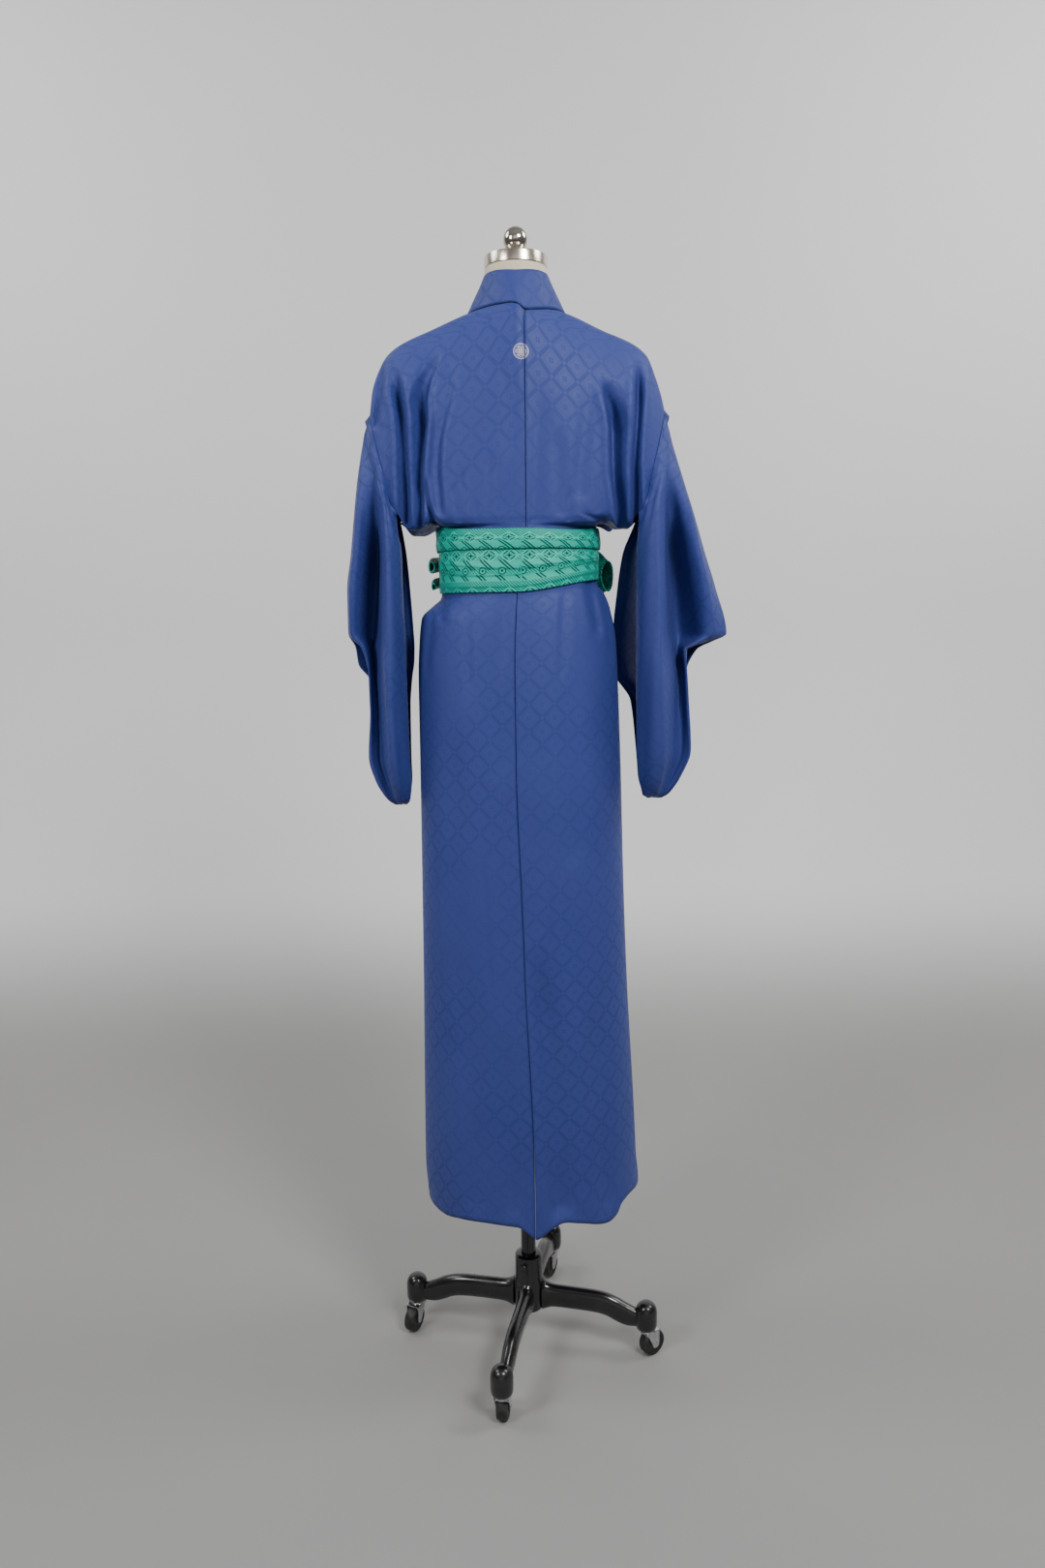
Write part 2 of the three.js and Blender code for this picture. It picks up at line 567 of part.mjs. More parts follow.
// Surface depth of the front over a place, for the part of the collar that lies on the chest.
function chestPoint(side, x, z, lift) {
  const near = x >= 0 ? 'left' : 'right';
  let rise = 0;
  for (let pass = 0; pass < 6; pass += 1) {
    const distance = Math.abs(x) * (1 + SHOULDER_SPREAD) / (1 + SHOULDER_SPREAD * rise);
    rise = clamp((z - YOKE) / (shoulder[near](distance) - YOKE), 0, 1);
  }
  const turn = 180 - Math.asin(rise) * 180 / Math.PI;
  const reach = ring[near](YOKE) * (1 + SHOULDER_SPREAD * rise);
  const angle = 180 - Math.asin(clamp(Math.abs(x) / reach, 0, 1)) * 180 / Math.PI;
  return archPoint(side, turn, angle, lift).y;
}

// One side of the collar, by station from the nape (1.324) down to its end in front.
function collarPoint(side, station, v) {
  const turn = (station - 1) * 180;
  if (station > 2) {
    const z = heightAt(station);
    const start = front.edge(z) + gapAngle;
    const angle = mix(start, Math.max(front.free(z), start + 0.5), v);
    return ringPoint(side, z, angle, lapLift(side, station, angle));
  }
  const seam = turn <= POINT_TURN ? innerAngle(side, station) - gapAngle : neckline(turn) + gapAngle;
  const lift = lapLift(side, station, seam);
  const base = archPoint(side, turn, seam, lift);
  base.z += 1.3 * (1 - ease(100, 130, turn));
  const free = new THREE.Vector3(side * rim.x(turn), rim.y(turn), rim.z(turn));
  const point = base.clone().lerp(free, v);
  const lying = ease(112, 146, turn);
  point.y = mix(point.y, chestPoint(side, point.x, point.z, lift), lying * ease(0, 0.25, v));
  return point;
}

function collarBand() {
  const down = frontStation(COLLAR_END);
  const turns = archTurns.filter((turn) => turn >= NAPE_TURN);
  const heights = ringHeights.filter((z) => z >= COLLAR_END).reverse();
  const stations = [...turns.map((turn) => 1 + turn / 180), ...heights.map(frontStation)];
  const nape = stations[0];
  const share = (station) => (station - nape) / (down - nape);
  const surface = (u, v) => {
    const side = u < 0.5 ? 1 : -1;
    return collarPoint(side, nape + Math.abs(1 - 2 * u) * (down - nape), v);
  };
  const half = stations.map(share);
  const rows = [...half.slice().reverse().map((s) => (1 - s) / 2), ...half.slice(1).map((s) => (1 + s) / 2)];
  return panel(surface, rows, steps(3), COLLAR_CLOTH, 1);
}

// Smooth path through control points, by share.
function path(points) {
  const curve = new THREE.CatmullRomCurve3(points, false, 'centripetal');
  return (share) => curve.getPoint(clamp(share, 0, 1));
}

// The armhole seam at a station of the body: a place one seam gap beyond its edge, and its facing.
function armhole(side, station) {
  const surface = bodySurface(side);
  const point = surface(station / 3, 1);
  const away = point.clone().sub(surface(station / 3, 0.999)).normalize();
  const normal = normalOf(surface, station / 3, 1).multiplyScalar(side);
  return { point: point.addScaledVector(away, ARMHOLE_GAP), normal };
}

function sleeveTable(side) {
  const table = side > 0 ? SLEEVE_LEFT : SLEEVE_RIGHT;
  return { table, at: columns(table, 'z'), cuff: side > 0 ? CUFF_LEFT : CUFF_RIGHT };
}

// One layer of a sleeve section: back from the inner edge to the cuff edge, or front the same way.
// Where the layer is sewn to the armhole it starts at the seam.
function sleeveLayer(side, z, at, frontLayer, seam) {
  const put = (x, y) => new THREE.Vector3(side * x, y, z);
  const start = seam ?? (frontLayer ? put(at.fx(z), at.fy(z)) : put(at.ix(z), at.iy(z)));
  const clear = seam ? side * start.x + mix(0.8, SLEEVE_LEAD, ease(1592, 1545, z)) : 0;
  const depth = at.depth(z);
  const tuck = mix(-depth, at.by(z) * 0.3, ease(1500, 1400, z));
  const spots = frontLayer
    ? [[mix(at.fx(z), at.bx(z), 0.3), -depth], [mix(at.fx(z), at.bx(z), 0.78), tuck],
      [mix(at.bx(z), at.vx(z), 0.55), -depth * 0.95], [at.gx(z), -depth * 0.5], [at.cx(z), at.cy(z)]]
    : [[at.rx(z), at.ry(z)], [at.bx(z), at.by(z)], [at.vx(z), at.vy(z)], [at.gx(z), at.gy(z)],
      [at.ex(z), at.ey(z)]];
  return path([start, ...spots.map(([x, y], i) => put(Math.max(x, clear * (1 + i * 0.01)), y))]);
}

// Rows of a sleeve from its top: those along the armhole share the body's stations.
function sleeveRows(table, cuff) {
  const seamTurns = risingTurns.filter((turn) => turn < SLEEVE_TOP_TURN).reverse();
  const seamHeights = ringHeights.filter((z) => z >= ARMHOLE_FOOT).reverse();
  const rows = [
    ...seamTurns.map((turn) => ({ back: 1 + turn / 180, front: 2 - turn / 180 })),
    ...seamHeights.map((z) => ({ back: backStation(z), front: frontStation(z) })),
  ];
  table.forEach((row, i) => {
    if (row.z >= ARMHOLE_FOOT) return;
    const above = Math.min(table[i - 1].z, ARMHOLE_FOOT);
    if (above - row.z > SLEEVE_STEP) rows.push({ z: (above + row.z) / 2 });
    rows.push({ z: row.z, slit: i > cuff.from && i < cuff.to });
  });
  return rows;
}

function sleeve(side) {
  const { table, at, cuff } = sleeveTable(side);
  const half = SLEEVE_CELLS;
  const rows = sleeveRows(table, cuff);
  const points = [];
  const seamNormals = new Map();
  const grid = [[]];
  const add = (point) => points.push(point) - 1;
  const addSeam = (station) => {
    const seam = armhole(side, station);
    seamNormals.set(points.length, seam.normal);
    return add(seam.point);
  };
  const topTurn = SLEEVE_TOP_TURN;
  for (let j = 0; j <= 2 * half; j += 1) {
    grid[0].push(addSeam(1 + mix(topTurn, 180 - topTurn, j / (2 * half)) / 180));
  }
  rows.forEach((row, i) => {
    const z = row.z ?? armhole(side, row.back).point.z;
    const back = sleeveLayer(side, z, at, false, row.back && armhole(side, row.back).point);
    const fore = sleeveLayer(side, z, at, true, row.front && armhole(side, row.front).point);
    const ids = [];
    const closing = i === rows.length - 1;
    ids.push(row.back ? addSeam(row.back) : add(back(0)));
    for (let j = 1; j <= half; j += 1) ids.push(add(back(j / half)));
    for (let j = half - 1; j >= 0; j -= 1) {
      if (closing) ids.push(ids[j]);
      else ids.push(j === 0 && row.front ? addSeam(row.front) : add(fore(j / half)));
    }
    ids.front = row.slit ? add(fore(1)) : ids[half];
    grid.push(ids);
  });
  const cells = [];
  grid.slice(1).forEach((row, i) => {
    const above = grid[i];
    for (let j = 0; j < 2 * half; j += 1) {
      const start = j === half ? [above.front ?? above[j], row.front] : [above[j], row[j]];
      cells.push([start[0], above[j + 1], row[j + 1], start[1]]);
    }
  });
  const normals = points.map(() => new THREE.Vector3());
  for (const cell of cells) {
    const [a, b, c, d] = cell.map((corner) => points[corner]);
    const facing = c.clone().sub(a).cross(d.clone().sub(b)).multiplyScalar(side);
    new Set(cell).forEach((corner) => normals[corner].add(facing));
  }
  normals.forEach((normal) => normal.normalize());
  seamNormals.forEach((normal, corner) => normals[corner].copy(normal));
  return thicken(points, normals, cells, SILK);
}

// A cloth wall that runs all the way round: rows up it, sides round it.
function roundWall(surface, rows, sides, thickness) {
  const points = [];
  const normals = [];
  const cells = [];
  rows.forEach((u, i) => {
    for (let j = 0; j < sides; j += 1) {
      const v = j / sides;
      const step = 0.001;
      points.push(surface(u, v));
      const along = surface(Math.min(1, u + step), v).sub(surface(Math.max(0, u - step), v));
      const across = surface(u, v + step).sub(surface(u, v - step));
      normals.push(along.cross(across).normalize());
      if (i > 0) {
        const next = (j + 1) % sides;
        const low = (i - 1) * sides;
        cells.push([low + j, low + next, i * sides + next, i * sides + j]);
      }
    }
  });
  return thicken(points, normals, cells, thickness);
}

// The laid-over fronts push the sash out.
const lapGrowth = (angle) => LAP * ease(90, 105, angle);

// A point on one turn of the sash. The angle runs from the centre back towards the wearer's left.
function sashPoint(turn, z, angle) {
  const wrapped = ((angle % 360) + 360) % 360;
  const { sine, cosine, near } = turnOf(1, wrapped);
  const grown = lapGrowth(Math.min(wrapped, 360 - wrapped));
  const x = sine * (turn[near](z) + grown);
  const y = cosine * ((cosine > 0 ? turn.back(z) : turn.front(z)) + grown);
  const high = ease(1400, 1437, z) * (8 * ease(0.2, 1, cosine) + 4 * ease(0, -122, x));
  return new THREE.Vector3(x, y, z + sashTilt(x, z) - high);
}

function sashTurn(table) {
  const turn = columns(table, 'z');
  const low = table[0].z;
  const high = table[table.length - 1].z;
  const surface = (u, v) => sashPoint(turn, mix(low, high, u), v * 360);
  return roundWall(surface, table.map((row) => (row.z - low) / (high - low)), SASH_SIDES, SASH_CLOTH);
}

// A place in front of the sash, by angle from the centre back on one side and distance out from it.
function bowPoint(side, angle, z, out) {
  const sine = Math.sin(radians(angle));
  const grown = out + lapGrowth(angle);
  const wide = side > 0 ? BOW_BASE.left : BOW_BASE.right;
  const y = Math.cos(radians(angle)) * (BOW_BASE.front + grown);
  return new THREE.Vector3(side * sine * (wide + grown), y, z);
}

// A rolled loop of the bow, open at both ends, lying on the sash.
function sashLoop({ side, from, to, zFrom, zTo, out, up }) {
  const surface = (u, v) => {
    const round = v * 2 * Math.PI * side;
    const wave = 1 + 0.05 * (Math.sin(3 * round + 5 * u) - 1) * ease(0, 0.5, u);
    const across = mix(out[0], out[1], u ** 1.5);
    const height = mix(zFrom, zTo, u) + mix(up[0], up[1], u) * Math.sin(round) * wave;
    return bowPoint(side, mix(from, to, u), height, across * (1 + Math.cos(round) * wave));
  };
  return roundWall(surface, steps(7), 12, SASH_CLOTH);
}

function sashKnot() {
  const middle = bowPoint(-1, 180, KNOT.z, KNOT.deep - 1.3);
  const sphere = new THREE.SphereGeometry(1, 14, 8);
  const spots = sphere.attributes.position;
  for (let i = 0; i < spots.count; i += 1) {
    const spot = new THREE.Vector3().fromBufferAttribute(spots, i);
    const pinch = 1 + 0.08 * Math.cos(3 * Math.atan2(spot.y, spot.x));
    spot.set(spot.x * KNOT.wide * pinch, spot.z * KNOT.deep, spot.y * KNOT.tall * pinch);
    spots.setXYZ(i, spot.x + middle.x, spot.y + middle.y, spot.z + middle.z);
  }
  return facingOut(sphere);
}

// A tail of the sash that hangs down the front, creased along its length.
function sashTail(tail) {
  const surface = (u, v) => {
    const z = mix(tail.top, tail.foot, u);
    const spread = mix(0.62, 1, ease(0, 0.6, u)) * tail.half / 135 * 180 / Math.PI;
    const crease = 2.2 * Math.cos((v - 0.5) * 9) * ease(0, 0.3, u);
    const away = tail.lift + 7 * (1 - ease(0, 0.25, u)) + crease;
    return ringPoint(1, z, tail.middle + (v - 0.5) * 2 * spread, LAP + away);
  };
  return panel(surface, steps(7), steps(5), SASH_CLOTH, -1);
}

// Solid through level or upright rings of equal count, closed at both ends.
function loft(sections) {
  const sides = sections[0].length;
  const points = sections.flat();
  const faces = [];
  for (let i = 0; i < sections.length - 1; i += 1) {
    for (let j = 0; j < sides; j += 1) {
      const next = (j + 1) % sides;
      const [a, b] = [i * sides + j, i * sides + next];
      faces.push([a, b, b + sides], [a, b + sides, a + sides]);
    }
  }
  for (let j = 1; j < sides - 1; j += 1) {
    const last = (sections.length - 1) * sides;
    faces.push([0, j + 1, j], [last, last + j, last + j + 1]);
  }
  return solid(points, faces);
}

// Merged copy of a geometry, its faces turned outwards.
function facingOut(geometry) {
  const bare = geometry.clone();
  for (const name of Object.keys(bare.attributes)) {
    if (name !== 'position') bare.deleteAttribute(name);
  }
  const merged = mergeVertices(bare, 1e-3);
  const spots = merged.attributes.position;
  const at = (i) => new THREE.Vector3().fromBufferAttribute(spots, i);
  const points = Array.from({ length: spots.count }, (_, i) => at(i));
  const corners = Array.from(merged.index.array);
  const faces = [];
  for (let i = 0; i < corners.length; i += 3) faces.push(corners.slice(i, i + 3));
  return solid(points, faces.filter(([a, b, c]) => a !== b && b !== c && c !== a));
}

function toManifold(geometry) {
  const merged = facingOut(geometry);
  return new wasm.Manifold(new wasm.Mesh({
    numProp: 3,
    vertProperties: merged.attributes.position.array,
    triVerts: new Uint32Array(merged.index.array),
  }));
}

function fromManifold(shape) {
  const mesh = shape.getMesh();
  const geometry = new THREE.BufferGeometry();
  geometry.setAttribute('position', new THREE.BufferAttribute(new Float32Array(mesh.vertProperties), 3));
  geometry.setIndex(Array.from(mesh.triVerts));
  return geometry;
}

// Solid of revolution about the upright axis from its (radius, height) profile.
function turned(profile, sides, twist = 0) {
  const lathe = new THREE.LatheGeometry(profile.map(([r, z]) => new THREE.Vector2(r, z)), sides, twist);
  lathe.rotateX(Math.PI / 2);
  return facingOut(lathe);
}

// Round bar along the upright axis between two heights.
function bar(radius, low, high, sides) {
  return turned([[0, low], [radius, low], [radius, high], [0, high]], sides);
}

function torso() {
  const sections = TORSO.map((row) => Array.from({ length: TORSO_SIDES }, (_, i) => {
    const angle = i / TORSO_SIDES * 2 * Math.PI;
    const sine = Math.sin(angle);
    const cosine = Math.cos(angle);
    const depth = cosine > 0 ? row.back : row.front;
    return new THREE.Vector3(
      row.half * Math.sign(sine) * Math.abs(sine) ** row.square,
      depth * Math.sign(cosine) * Math.abs(cosine) ** row.square,
      row.z,
    );
  }));
  const socket = bar(POLE_RADIUS + 2 * FIT, TORSO[0].z - 10, SOCKET_TOP + FIT, 16);
  return fromManifold(toManifold(loft(sections)).subtract(toManifold(socket)));
}

function neck() {
  const profile = [[0, NECK_FOOT], [53, NECK_FOOT], [51, 1775], [49.5, 1800], [48.5, NECK_TOP],
    [0, NECK_TOP]];
  return turned(profile, 28);
}

function neckCap() {
  const foot = NECK_TOP + FIT;
  const top = foot + CAP_HEIGHT;
  const profile = [[0, foot], [CAP_RADIUS, foot], [CAP_RADIUS, top - 2], [CAP_RADIUS - 2, top],
    [14, top + 1.5], [0, top + 1.5]];
  return turned(profile, 32);
}

function finial() {
  const foot = NECK_TOP + FIT + CAP_HEIGHT + 1.5 + FIT;
  const profile = [[0, foot], [11, foot], [10, foot + 2], [7.5, foot + 4]];
  for (let i = 2; i <= 10; i += 1) {
    const angle = -Math.PI / 2 + i / 10 * Math.PI;
    const radius = i === 10 ? 0 : FINIAL_RADIUS * Math.cos(angle);
    profile.push([radius, FINIAL_MIDDLE + FINIAL_RADIUS * Math.sin(angle)]);
  }
  return turned(profile, 18);
}

function pole() {
  return bar(POLE_RADIUS, POLE_FOOT, SOCKET_TOP, 16);
}

function clampScrew() {
  const shank = bar(CLAMP.radius, POLE_RADIUS + FIT, CLAMP.reach, 8);
  const head = bar(CLAMP.head, HUB.radius + FIT, CLAMP.reach, 10);
  const whole = toManifold(shank).add(toManifold(head));
  const geometry = fromManifold(whole);
  geometry.rotateY(Math.PI / 2);
  geometry.rotateZ(radians(CLAMP.angle));
  geometry.translate(0, 0, CLAMP.z);
  return geometry;
}

function hub() {
  const bore = POLE_RADIUS + FIT;
  const { foot, top, radius, belly } = HUB;
  const ring = turned([[bore, foot], [radius - 4, foot], [belly, foot + 8], [belly, 118], [radius, 128],
    [radius, top - 2], [radius - 2, top], [bore, top], [bore, foot]], 20);
  const hole = bar(CLAMP.radius + FIT, 0, HUB.belly + 4, 8);
  hole.rotateY(Math.PI / 2);
  hole.rotateZ(radians(CLAMP.angle));
  hole.translate(0, 0, CLAMP.z);
  return fromManifold(toManifold(ring).subtract(toManifold(hole)));
}

// One cast arm with its knob, bored for the caster's stem.
function arm() {
  const sections = ARM_SECTIONS.map(({ r, top, foot, half }) => {
    const middle = (top + foot) / 2;
    const spots = [[3, top], [half - 3, top - 5], [half, middle], [half - 4, foot]];
    const round = [...spots, ...spots.slice().reverse().map(([y, z]) => [-y, z])];
    return round.map(([y, z]) => new THREE.Vector3(r, y, z));
  });
  const profile = [[0, KNOB.foot], [KNOB.radius - 3, KNOB.foot], [KNOB.radius, KNOB.foot + 9]];
  for (let i = 0; i <= 4; i += 1) {
    const angle = i / 4 * Math.PI / 2;
    const rise = (KNOB.top - KNOB.shoulder) * Math.sin(angle);
    profile.push([i === 4 ? 0 : KNOB.radius * Math.cos(angle), KNOB.shoulder + rise]);
  }
  const knob = turned(profile, 14);
  const bore = bar(STEM_RADIUS + FIT, KNOB.foot - 1, STEM_TOP + FIT, 14);
  knob.translate(ARM_REACH, 0, 0);
  bore.translate(ARM_REACH, 0, 0);
  const root = bar(HUB.belly + FIT, 0, HUB.top, 40);
  const beam = toManifold(loft(sections)).subtract(toManifold(root));
  return fromManifold(beam.add(toManifold(knob)).subtract(toManifold(bore)));
}

// Caster fork about its swivel axis: stem, cup, deck, two cheeks and the axle. It trails along +X.
function fork() {
  const { deck: foot, radius, top } = FORK;
  const stem = turned([[0, foot], [radius, foot], [radius + 0.5, 50], [radius - 1, top], [STEM_RADIUS, top],
    [STEM_RADIUS, STEM_TOP], [0, STEM_TOP]], 14);
  const outside = FORK.inside + FORK.plate;
  const deck = new THREE.BoxGeometry(WHEEL.trail + 18, 2 * outside, 1.6);
  deck.translate((WHEEL.trail + 18) / 2 - 11, 0, FORK.deck + 0.4);
  let whole = toManifold(stem).add(toManifold(deck));
  for (const sign of [1, -1]) {
    const outline = new THREE.Shape();
    outline.moveTo(-10, FORK.deck + 1);
    outline.lineTo(WHEEL.trail + 7, FORK.deck + 1);
    outline.lineTo(WHEEL.trail + 6, WHEEL.radius - 2);
    outline.absarc(WHEEL.trail, WHEEL.radius, 6.5, -0.3, -Math.PI, true);
    const plate = { depth: FORK.plate, bevelEnabled: false, curveSegments: 4 };
    const cheek = new THREE.ExtrudeGeometry(outline, plate);
    cheek.rotateX(Math.PI / 2);
    cheek.translate(0, sign > 0 ? outside : -FORK.inside, 0);
    whole = whole.add(toManifold(cheek));
  }
  const axle = bar(WHEEL.bore - FIT, -outside - 1, outside + 1, 8);
  axle.rotateX(Math.PI / 2);
  axle.translate(WHEEL.trail, 0, WHEEL.radius);
  return fromManifold(whole.add(toManifold(axle)));
}

// Wheel about its axle along Y, with a flat of its tread at the bottom.
function wheel() {
  const { radius, half, bore, sides } = WHEEL;
  const corner = radius / Math.cos(Math.PI / sides);
  const profile = [[bore, -half], [corner - 5, -half], [corner, -half + 3.5], [corner, half - 3.5],
    [corner - 5, half], [bore, half], [bore, -half]];
  const geometry = turned(profile, sides, Math.PI / sides);
  geometry.rotateX(Math.PI / 2);
  return geometry;
}

const silk = { color: 0x2f4a94, roughness: 0.5, metalness: 0 };
const sashSilk = { color: 0x2fae88, roughness: 0.55, metalness: 0 };
const linen = { color: 0xe6dcc0, roughness: 0.9, metalness: 0 };
const steel = { color: 0xb9b5ae, roughness: 0.28, metalness: 1 };
const enamel = { color: 0x0c0c0d, roughness: 0.25, metalness: 0.2 };
const chrome = { color: 0xd4d6d8, roughness: 0.15, metalness: 1 };
const rubber = { color: 0x17171a, roughness: 0.6, metalness: 0 };

// The pole stands a little off the middle of the whole.
const POLE_X = 27.5;
const dressed = new THREE.Group();
dressed.position.set(POLE_X, 0, 0);

function place(name, geometry, look, parent = dressed) {
  geometry.computeVertexNormals();
  const mesh = new THREE.Mesh(geometry, new THREE.MeshStandardMaterial(look));
  mesh.name = name;
  parent.add(mesh);
  return mesh;
}

place('body_left', bodyPanel(1), silk);
place('body_right', bodyPanel(-1), silk);
place('okumi_left', okumiPanel(1), silk);
place('okumi_right', okumiPanel(-1), silk);
place('collar', collarBand(), silk);
place('sleeve_left', sleeve(1), silk);
place('sleeve_right', sleeve(-1), silk);
place('sash_lower', sashTurn(SASH_LOWER), sashSilk);
place('sash_upper', sashTurn(SASH_UPPER), sashSilk);
place('sash_knot', sashKnot(), sashSilk);
for (const loop of LOOPS) place(loop.name, sashLoop(loop), sashSilk);
for (const tail of TAILS) place(tail.name, sashTail(tail), sashSilk);
place('torso', torso(), linen);
place('neck', neck(), linen);
place('neck_cap', neckCap(), steel);
place('finial', finial(), steel);
place('pole', pole(), enamel);
place('hub', hub(), enamel);
place('clamp_screw', clampScrew(), enamel);
for (const { name, angle, heading } of ARMS) {
  place(`arm_${name}`, arm(), enamel).rotation.z = radians(angle);
  const caster = new THREE.Group();
  caster.position.set(ARM_REACH * Math.cos(radians(angle)), ARM_REACH * Math.sin(radians(angle)), 0);
  caster.rotation.z = radians(heading);
  place(`fork_${name}`, fork(), chrome, caster);
  place(`wheel_${name}`, wheel(), rubber, caster).position.set(WHEEL.trail, 0, WHEEL.radius);
  dressed.add(caster);
}

const robe = new THREE.Group();
robe.add(dressed);

export default robe;
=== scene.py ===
import math
import bpy
import numpy as np
from mathutils import Matrix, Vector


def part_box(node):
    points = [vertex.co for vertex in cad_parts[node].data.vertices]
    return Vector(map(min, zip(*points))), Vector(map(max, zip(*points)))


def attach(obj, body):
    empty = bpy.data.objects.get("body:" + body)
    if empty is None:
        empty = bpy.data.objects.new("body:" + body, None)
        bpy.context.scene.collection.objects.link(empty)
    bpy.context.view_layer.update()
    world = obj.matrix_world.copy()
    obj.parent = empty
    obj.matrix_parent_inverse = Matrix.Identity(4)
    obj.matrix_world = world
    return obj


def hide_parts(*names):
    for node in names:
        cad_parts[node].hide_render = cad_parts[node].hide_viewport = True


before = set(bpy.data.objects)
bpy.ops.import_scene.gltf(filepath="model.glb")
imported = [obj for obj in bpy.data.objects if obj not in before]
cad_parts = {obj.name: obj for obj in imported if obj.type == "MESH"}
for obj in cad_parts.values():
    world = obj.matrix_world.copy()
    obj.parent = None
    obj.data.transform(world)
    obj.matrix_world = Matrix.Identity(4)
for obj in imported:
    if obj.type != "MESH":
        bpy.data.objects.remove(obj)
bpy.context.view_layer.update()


# ---- Cast foot ----
# Four-armed foot of cast iron under glossy black enamel: a hub that holds the pole with a clamp
# screw, and four arms that end in domed bosses for the casters. Each casting is lofted.
HUB_PROFILE = [(13.3, 68), (20, 68), (25, 70), (27, 76), (27, 117), (26.2, 123), (24, 129), (24, 168),
               (23.4, 170.6), (21.5, 172), (13.3, 172)]
BOSS_PROFILE = [(0, 54), (15.5, 54), (17.6, 56), (18.8, 61), (19, 70), (19, 83), (18.6, 88), (17.2, 93),
                (14.6, 97.6), (10.8, 101), (5.6, 102.8), (0, 103)]
ARM_SECTIONS = [(26, 124, 70, 15), (32, 119, 72.5, 13.4), (46, 115.3, 76.5, 12), (80, 114.5, 77, 12),
                (118, 113.6, 76, 12), (140, 110.8, 72.5, 12), (158, 104.8, 64.5, 12), (176, 96, 58, 11),
                (198, 86, 58, 10)]
ARMS = [("back", 77.4, 262), ("right", 167.4, 215), ("front", 257.4, 60), ("left", 347.4, 65)]
BOSS_REACH = 211

pole_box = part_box("pole")
pole_x = (pole_box[0][0] + pole_box[1][0]) / 2


def in_frame(points):
    """Places given in millimetres from the pole's axis, in the frame's metres."""
    moved = np.asarray(points, dtype=float) / 1000
    moved[..., 0] += pole_x
    return moved


def linked(name, data):
    """A new object with its mesh, light or camera, put in the scene."""
    made = bpy.data.objects.new(name, data)
    bpy.context.scene.collection.objects.link(made)
    return made


def shaped(name, points, faces, sharp=38):
    """A mesh object from millimetre points, smooth except over its sharp corners."""
    mesh = bpy.data.meshes.new(name)
    mesh.from_pydata(in_frame(points).tolist(), [], [tuple(face) for face in faces])
    mesh.validate()
    mesh.polygons.foreach_set("use_smooth", [True] * len(mesh.polygons))
    mesh.set_sharp_from_angle(angle=math.radians(sharp))
    return linked(name, mesh)


def turned(profile, sides=48, closed=False):
    """Points and faces of a piece turned about the upright axis."""
    points, faces, rings = [], [], []
    for radius, z in profile:
        if radius < 1e-6:
            rings.append([len(points)])
            points.append((0, 0, z))
            continue
        rings.append(list(range(len(points), len(points) + sides)))
        for i in range(sides):
            angle = 2 * math.pi * i / sides
            points.append((radius * math.cos(angle), radius * math.sin(angle), z))
    if closed:
        rings.append(rings[0])
    for low, high in zip(rings, rings[1:]):
        for i in range(sides):
            j = (i + 1) % sides
            if len(low) == 1 and len(high) > 1:
                faces.append((low[0], high[j], high[i]))
            elif len(high) == 1 and len(low) > 1:
                faces.append((low[i], low[j], high[0]))
            elif len(low) > 1:
                faces.append((low[i], low[j], high[j], high[i]))
    return np.array(points, dtype=float), faces


def turn_about(points, angle, x=0.0, y=0.0):
    """Points turned about the upright axis by degrees and then shifted."""
    a = math.radians(angle)
    turned_points = np.array(points, dtype=float)
    turned_points[:, 0], turned_points[:, 1] = (
        points[:, 0] * math.cos(a) - points[:, 1] * math.sin(a) + x,
        points[:, 0] * math.sin(a) + points[:, 1] * math.cos(a) + y)
    return turned_points


def joined(*parts):
    """One list of points and faces from several."""
    points, faces, count = [], [], 0
    for part_points, part_faces in parts:
        points.append(part_points)
        faces += [tuple(i + count for i in face) for face in part_faces]
        count += len(part_points)
    return np.vstack(points), faces


def lofted(rings):
    """Points and faces through closed rings of equal count, with flat ends."""
    rings = np.asarray(rings, dtype=float)
    count, sides = rings.shape[:2]
    faces = []
    for low in range(0, (count - 1) * sides, sides):
        for j in range(sides):
            k = (j + 1) % sides
            faces.append((low + j, low + k, low + sides + k, low + sides + j))
    faces.append(tuple(reversed(range(sides))))
    faces.append(tuple((count - 1) * sides + j for j in range(sides)))
    return rings.reshape(-1, 3), faces


class Value:
    """An output in a node tree. Reckoning with it places the math nodes."""

    def __init__(self, wiring, socket):
        self.wiring, self.socket = wiring, socket

    def calc(self, operation, *others):
        reckoned = self.wiring.tree.nodes.new("ShaderNodeMath")
        reckoned.operation = operation
        for socket, value in zip(reckoned.inputs, (self, *others)):
            self.wiring.feed(socket, value)
        return Value(self.wiring, reckoned.outputs[0])

    def __add__(self, other):
        return self.calc("ADD", other)

    def __sub__(self, other):
        return self.calc("SUBTRACT", other)

    def __mul__(self, other):
        return self.calc("MULTIPLY", other)

    def __truediv__(self, other):
        return self.calc("DIVIDE", other)

    def __pow__(self, other):
        return self.calc("POWER", other)

    def __abs__(self):
        return self.calc("ABSOLUTE")

    def __or__(self, other):
        return self.calc("MAXIMUM", other)

    def ramp(self, low, high):
        """0 below low, 1 above high, smooth between; runs down where high is the lower."""
        ends = (0.0, 1.0) if high > low else (1.0, 0.0)
        return self.wiring.node("ShaderNodeMapRange", {
            "Value": self, "From Min": min(low, high), "From Max": max(low, high), "To Min": ends[0],
            "To Max": ends[1]}, interpolation_type="SMOOTHSTEP")("Result")


